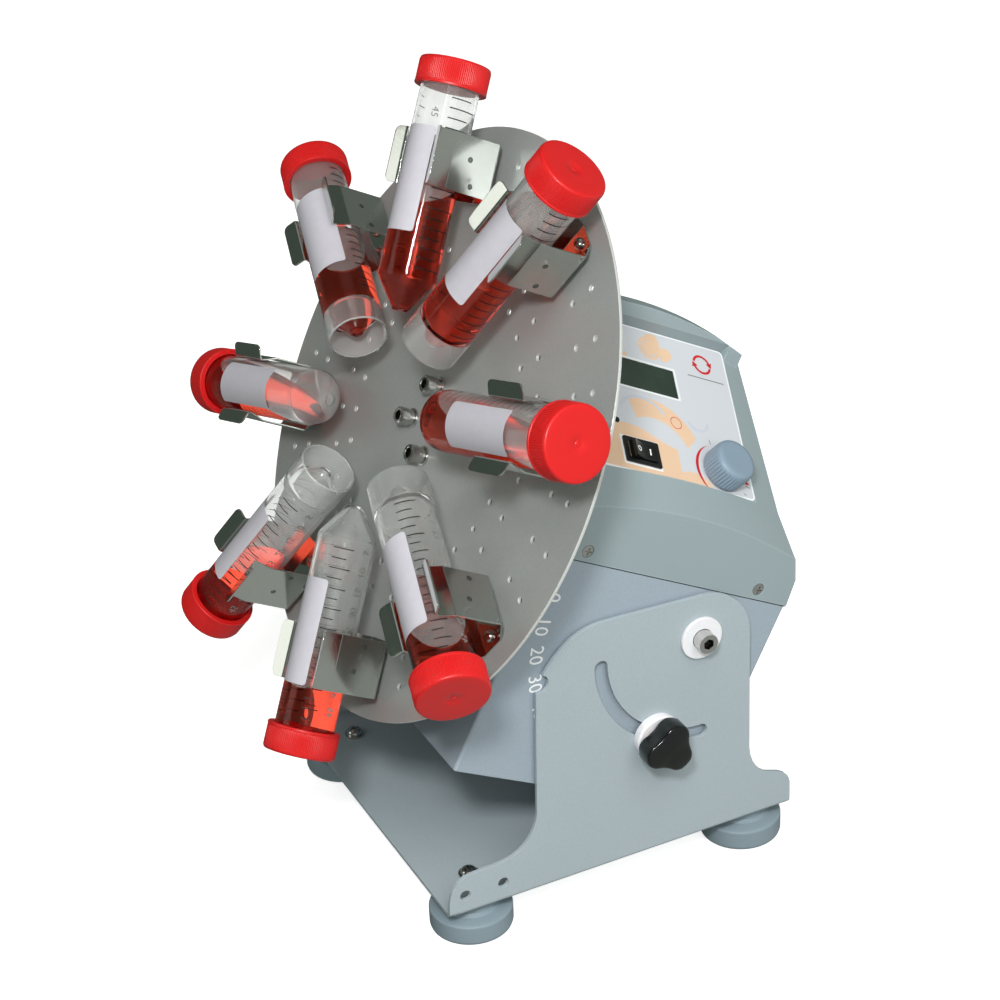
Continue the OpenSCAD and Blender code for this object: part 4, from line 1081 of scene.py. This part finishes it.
def prints(k, M, b):
    t = TURN[k]
    st, z0, z1 = TT[k - 1]
    zb, zt = 82.6, 132.6
    if k == 3:
        zb, zt = 83.2, 129.5
    if k == 7:
        zb, zt = 85.6, 133.8
    cyl_grid('patch_%d' % k, -40 + t, 50 + t, zb, zt, ro + 0.02, 0.06, M, M_PATCH, b, 1.6)
    # graduation marks on both sides of the patch, 5 ml long marks and 2.5 ml short ones
    lo = z0 + 18
    V, F, = [], []
    for i in range(0, 18):
        z = 66.9 + 4.72 * i
        if z < lo or z > z1 - 15.5:
            continue
        long_ = i % 2 == 0
        cyl_grid('mark_a_%d_%d' % (k, i), 66 + t, (132 if long_ else 110) + t, z - 0.26, z + 0.26, ro + 0.02, 0.05, M, M_PRINT_K, b)
        cyl_grid('mark_b_%d_%d' % (k, i), (-74 if long_ else -63) + t, -42 + t + (8 if z < zb - 1 else -1), z - 0.24, z + 0.24, ro + 0.02, 0.05, M, M_PRINT_K, b)
        if long_ and 5 * (i // 2 + 1) <= 45:
            me = text_mesh(str(5 * (i // 2 + 1)), 5.2, 0.02)
            for v in me.vertices:
                a = math.radians(-100 + t) - (v.co.y) / ro
                rr = ro + 0.12 + v.co.z
                v.co = M @ Vector((-rr * math.cos(a) * S, -rr * math.sin(a) * S, (z - v.co.x) * S))
            me.name = 'number_%d_%d' % (k, i)
            finish_obj(me.name, me, M_PRINT_G, b, 0)


def cap(k):
    M = TUBE(k)
    z1 = TT[k - 1][2]
    rc = 17.3
    seg = 648
    b0 = z1 - 13
    side = [(15.0, b0 + 0.1), (16.9, b0), (17.22, b0 + 0.25), (17.28, b0 + 0.7), (17.25, b0 + 1.25), (16.98, b0 + 1.5), (17.0, b0 + 1.9), (17.0, b0 + 4), (17.0, b0 + 7), (17.0, z1 - 1.6), (16.95, z1 - 1.2), (16.85, z1 - 0.75), (16.6, z1 - 0.35), (16.2, z1 - 0.1), (15.7, z1)]
    face = [(12.0, z1 - 0.01), (6.0, z1 - 0.02), (2.4, z1 - 0.03), (2.05, z1 - 0.22), (1.45, z1 - 0.24), (1.15, z1 - 0.02), (0.6, z1), (0, z1 + 0.01)]
    inner = [(0, z1 - 1.5), (13.9, z1 - 1.5), (14.14, z1 - 1.9), (14.14, b0 + 0.8), (14.5, b0 + 0.1)]

    def ribs(r, z, a):
        if r > 16.8 and b0 + 1.8 < z < z1 - 1.3:
            u = (a * 108 / (2 * math.pi)) % 1.0
            return r + 0.14 - 0.26 * abs(2 * u - 1) ** 1.5
        return r
    V, F = lathe(inner + side + face, seg, ribs, closed=False)
    make('cap_%d_body' % k, V, F, M, M_CAP, 'cap_%d_b' % k, 32, ('cap_%d' % k,), merge=0.001)


for k in range(1, 9):
    tube(k)
    cap(k)

# ------------------------------------------------------------------ stage, lights, camera
V = [(-6000, -6000, 0), (6000, -6000, 0), (6000, 6000, 0), (-6000, 6000, 0)]
t = NT('stage_floor')
c = t.ramp(t.noise(3, 2), [(0.3, (0.90, 0.90, 0.905, 1)), (0.7, (0.915, 0.915, 0.92, 1))])
t.l(c, t.b.inputs['Base Color'])
set_(t.b, Roughness=0.7, Specular_IOR_Level=0.2, Emission_Strength=0.72)
t.b.inputs['Emission Color'].default_value = (1, 1, 1, 1)
floor = make('stage_floor', V, [(0, 1, 2, 3)], T(0, 0, -0.05), t.m, None, 0)
# the floor is only looked at: the room below stays dim in the polished steel
floor.visible_glossy = False
floor.visible_diffuse = False
floor.visible_shadow = False

w = bpy.data.worlds.new('world')
bpy.context.scene.world = w
w.use_nodes = True
wt = w.node_tree
bg = wt.nodes['Background']
bg.inputs[1].default_value = 1.0
gen = wt.nodes.new('ShaderNodeTexCoord')
sep = wt.nodes.new('ShaderNodeSeparateXYZ')
wt.links.new(gen.outputs['Generated'], sep.inputs[0])


def wmath(op, a_, b_=0.0, clamp=False):
    x_ = wt.nodes.new('ShaderNodeMath'); x_.operation = op; x_.use_clamp = clamp
    for so, v_ in ((x_.inputs[0], a_), (x_.inputs[1], b_)):
        if isinstance(v_, bpy.types.NodeSocket):
            wt.links.new(v_, so)
        else:
            so.default_value = v_
    return x_.outputs[0]


def wmix(f_, a_, b_):
    x_ = wt.nodes.new('ShaderNodeMix'); x_.data_type = 'RGBA'
    wt.links.new(f_, x_.inputs[0])
    for so, v_ in ((x_.inputs[6], a_), (x_.inputs[7], b_)):
        if isinstance(v_, bpy.types.NodeSocket):
            wt.links.new(v_, so)
        else:
            so.default_value = v_
    return x_.outputs[2]


def wstep(v_, lo_, hi_):
    return wmath('DIVIDE', wmath('SUBTRACT', v_, lo_), hi_ - lo_, True)


# the room: mid grey-green in front, right and below, dark behind and to the left, light overhead
sx, sy_, sz = sep.outputs['X'], sep.outputs['Y'], sep.outputs['Z']
front = wmath('SUBTRACT', wmath('MULTIPLY', sx, 0.55), wmath('ADD', wmath('MULTIPLY', sy_, 0.8), wmath('MULTIPLY', sz, 0.55)))
room = wmix(wstep(front, -0.35, 0.55), (0.07, 0.088, 0.073, 1), (0.37, 0.385, 0.365, 1))
room = wmix(wstep(sz, 0.86, 0.97), room, (0.46, 0.465, 0.45, 1))
lp = wt.nodes.new('ShaderNodeLightPath')
clear = wmath('SUBTRACT', 1.0, wmath('ADD', lp.outputs['Glossy Depth'], lp.outputs['Diffuse Depth']), True)
seen = wmath('MAXIMUM', lp.outputs['Is Camera Ray'], wmath('MULTIPLY', lp.outputs['Is Transmission Ray'], clear))
mx = wt.nodes.new('ShaderNodeMix'); mx.data_type = 'RGBA'
wt.links.new(seen, mx.inputs[0])
wt.links.new(room, mx.inputs[6])
mx.inputs[7].default_value = (1, 1, 1, 1)
wt.links.new(mx.outputs[2], bg.inputs[0])


def area(name, loc, target, size, power, sy=None, col=(1, 1, 1)):
    li = bpy.data.lights.new(name, 'AREA')
    li.energy = power; li.size = size; li.color = col
    if sy:
        li.shape = 'RECTANGLE'; li.size_y = sy
    o = bpy.data.objects.new(name, li)
    bpy.context.scene.collection.objects.link(o)
    o.location = loc
    o.rotation_mode = 'QUATERNION'
    o.rotation_quaternion = (Vector(target) - Vector(loc)).to_track_quat('-Z', 'Y')
    return o


az, el, roll = math.radians(-25.108), math.radians(29.027), math.radians(-2.877)
dist = 1.2407
back = Vector((math.sin(az) * math.cos(el), -math.cos(az) * math.cos(el), math.sin(el)))
target = Vector((-0.013354, 0, 0.180326))
right = Vector((math.cos(az), math.sin(az), 0))
up = back.cross(right)
r2 = math.cos(roll) * right + math.sin(roll) * up
u2 = -math.sin(roll) * right + math.cos(roll) * up
C = target + back * dist


def ring_at(az_, el_, d):
    a_, e_ = math.radians(az_), math.radians(el_)
    return Vector((0, 0, 0.2)) + d * Vector((math.sin(a_) * math.cos(e_), -math.cos(a_) * math.cos(e_), math.sin(e_)))


# a small lamp just above the camera, and two soft cards
area('key', C + up * 0.22 - right * 0.09, (-0.02, 0, 0.2), 0.14, 9.5)
area('left_card', ring_at(-103, 19, 1.6), (0, 0, 0.2), 0.75, 2.6, 0.8, (1.0, 0.985, 0.94))
area('front_card', ring_at(-6, 44, 2.0), (0, 0, 0.2), 1.7, 32.0, 1.9, (1.0, 0.99, 0.965))
bpy.data.objects['front_card'].visible_glossy = False
cam_d = bpy.data.cameras.new('camera')
cam_d.lens = 91.574; cam_d.sensor_width = 36; cam_d.clip_start = 0.01; cam_d.clip_end = 50
cam = bpy.data.objects.new('camera', cam_d)
bpy.context.scene.collection.objects.link(cam)
cam.matrix_world = Matrix(((r2.x, u2.x, back.x, C.x), (r2.y, u2.y, back.y, C.y), (r2.z, u2.z, back.z, C.z), (0, 0, 0, 1)))
bpy.context.scene.camera = cam

sc = bpy.context.scene
sc.view_settings.view_transform = 'Standard'
sc.view_settings.look = 'None'
sc.cycles.max_bounces = 20
sc.cycles.transmission_bounces = 18
sc.cycles.transparent_max_bounces = 16
sc.cycles.glossy_bounces = 6
sc.cycles.diffuse_bounces = 4
sc.cycles.sample_clamp_indirect = 6.0

bpy.context.view_layer.update()
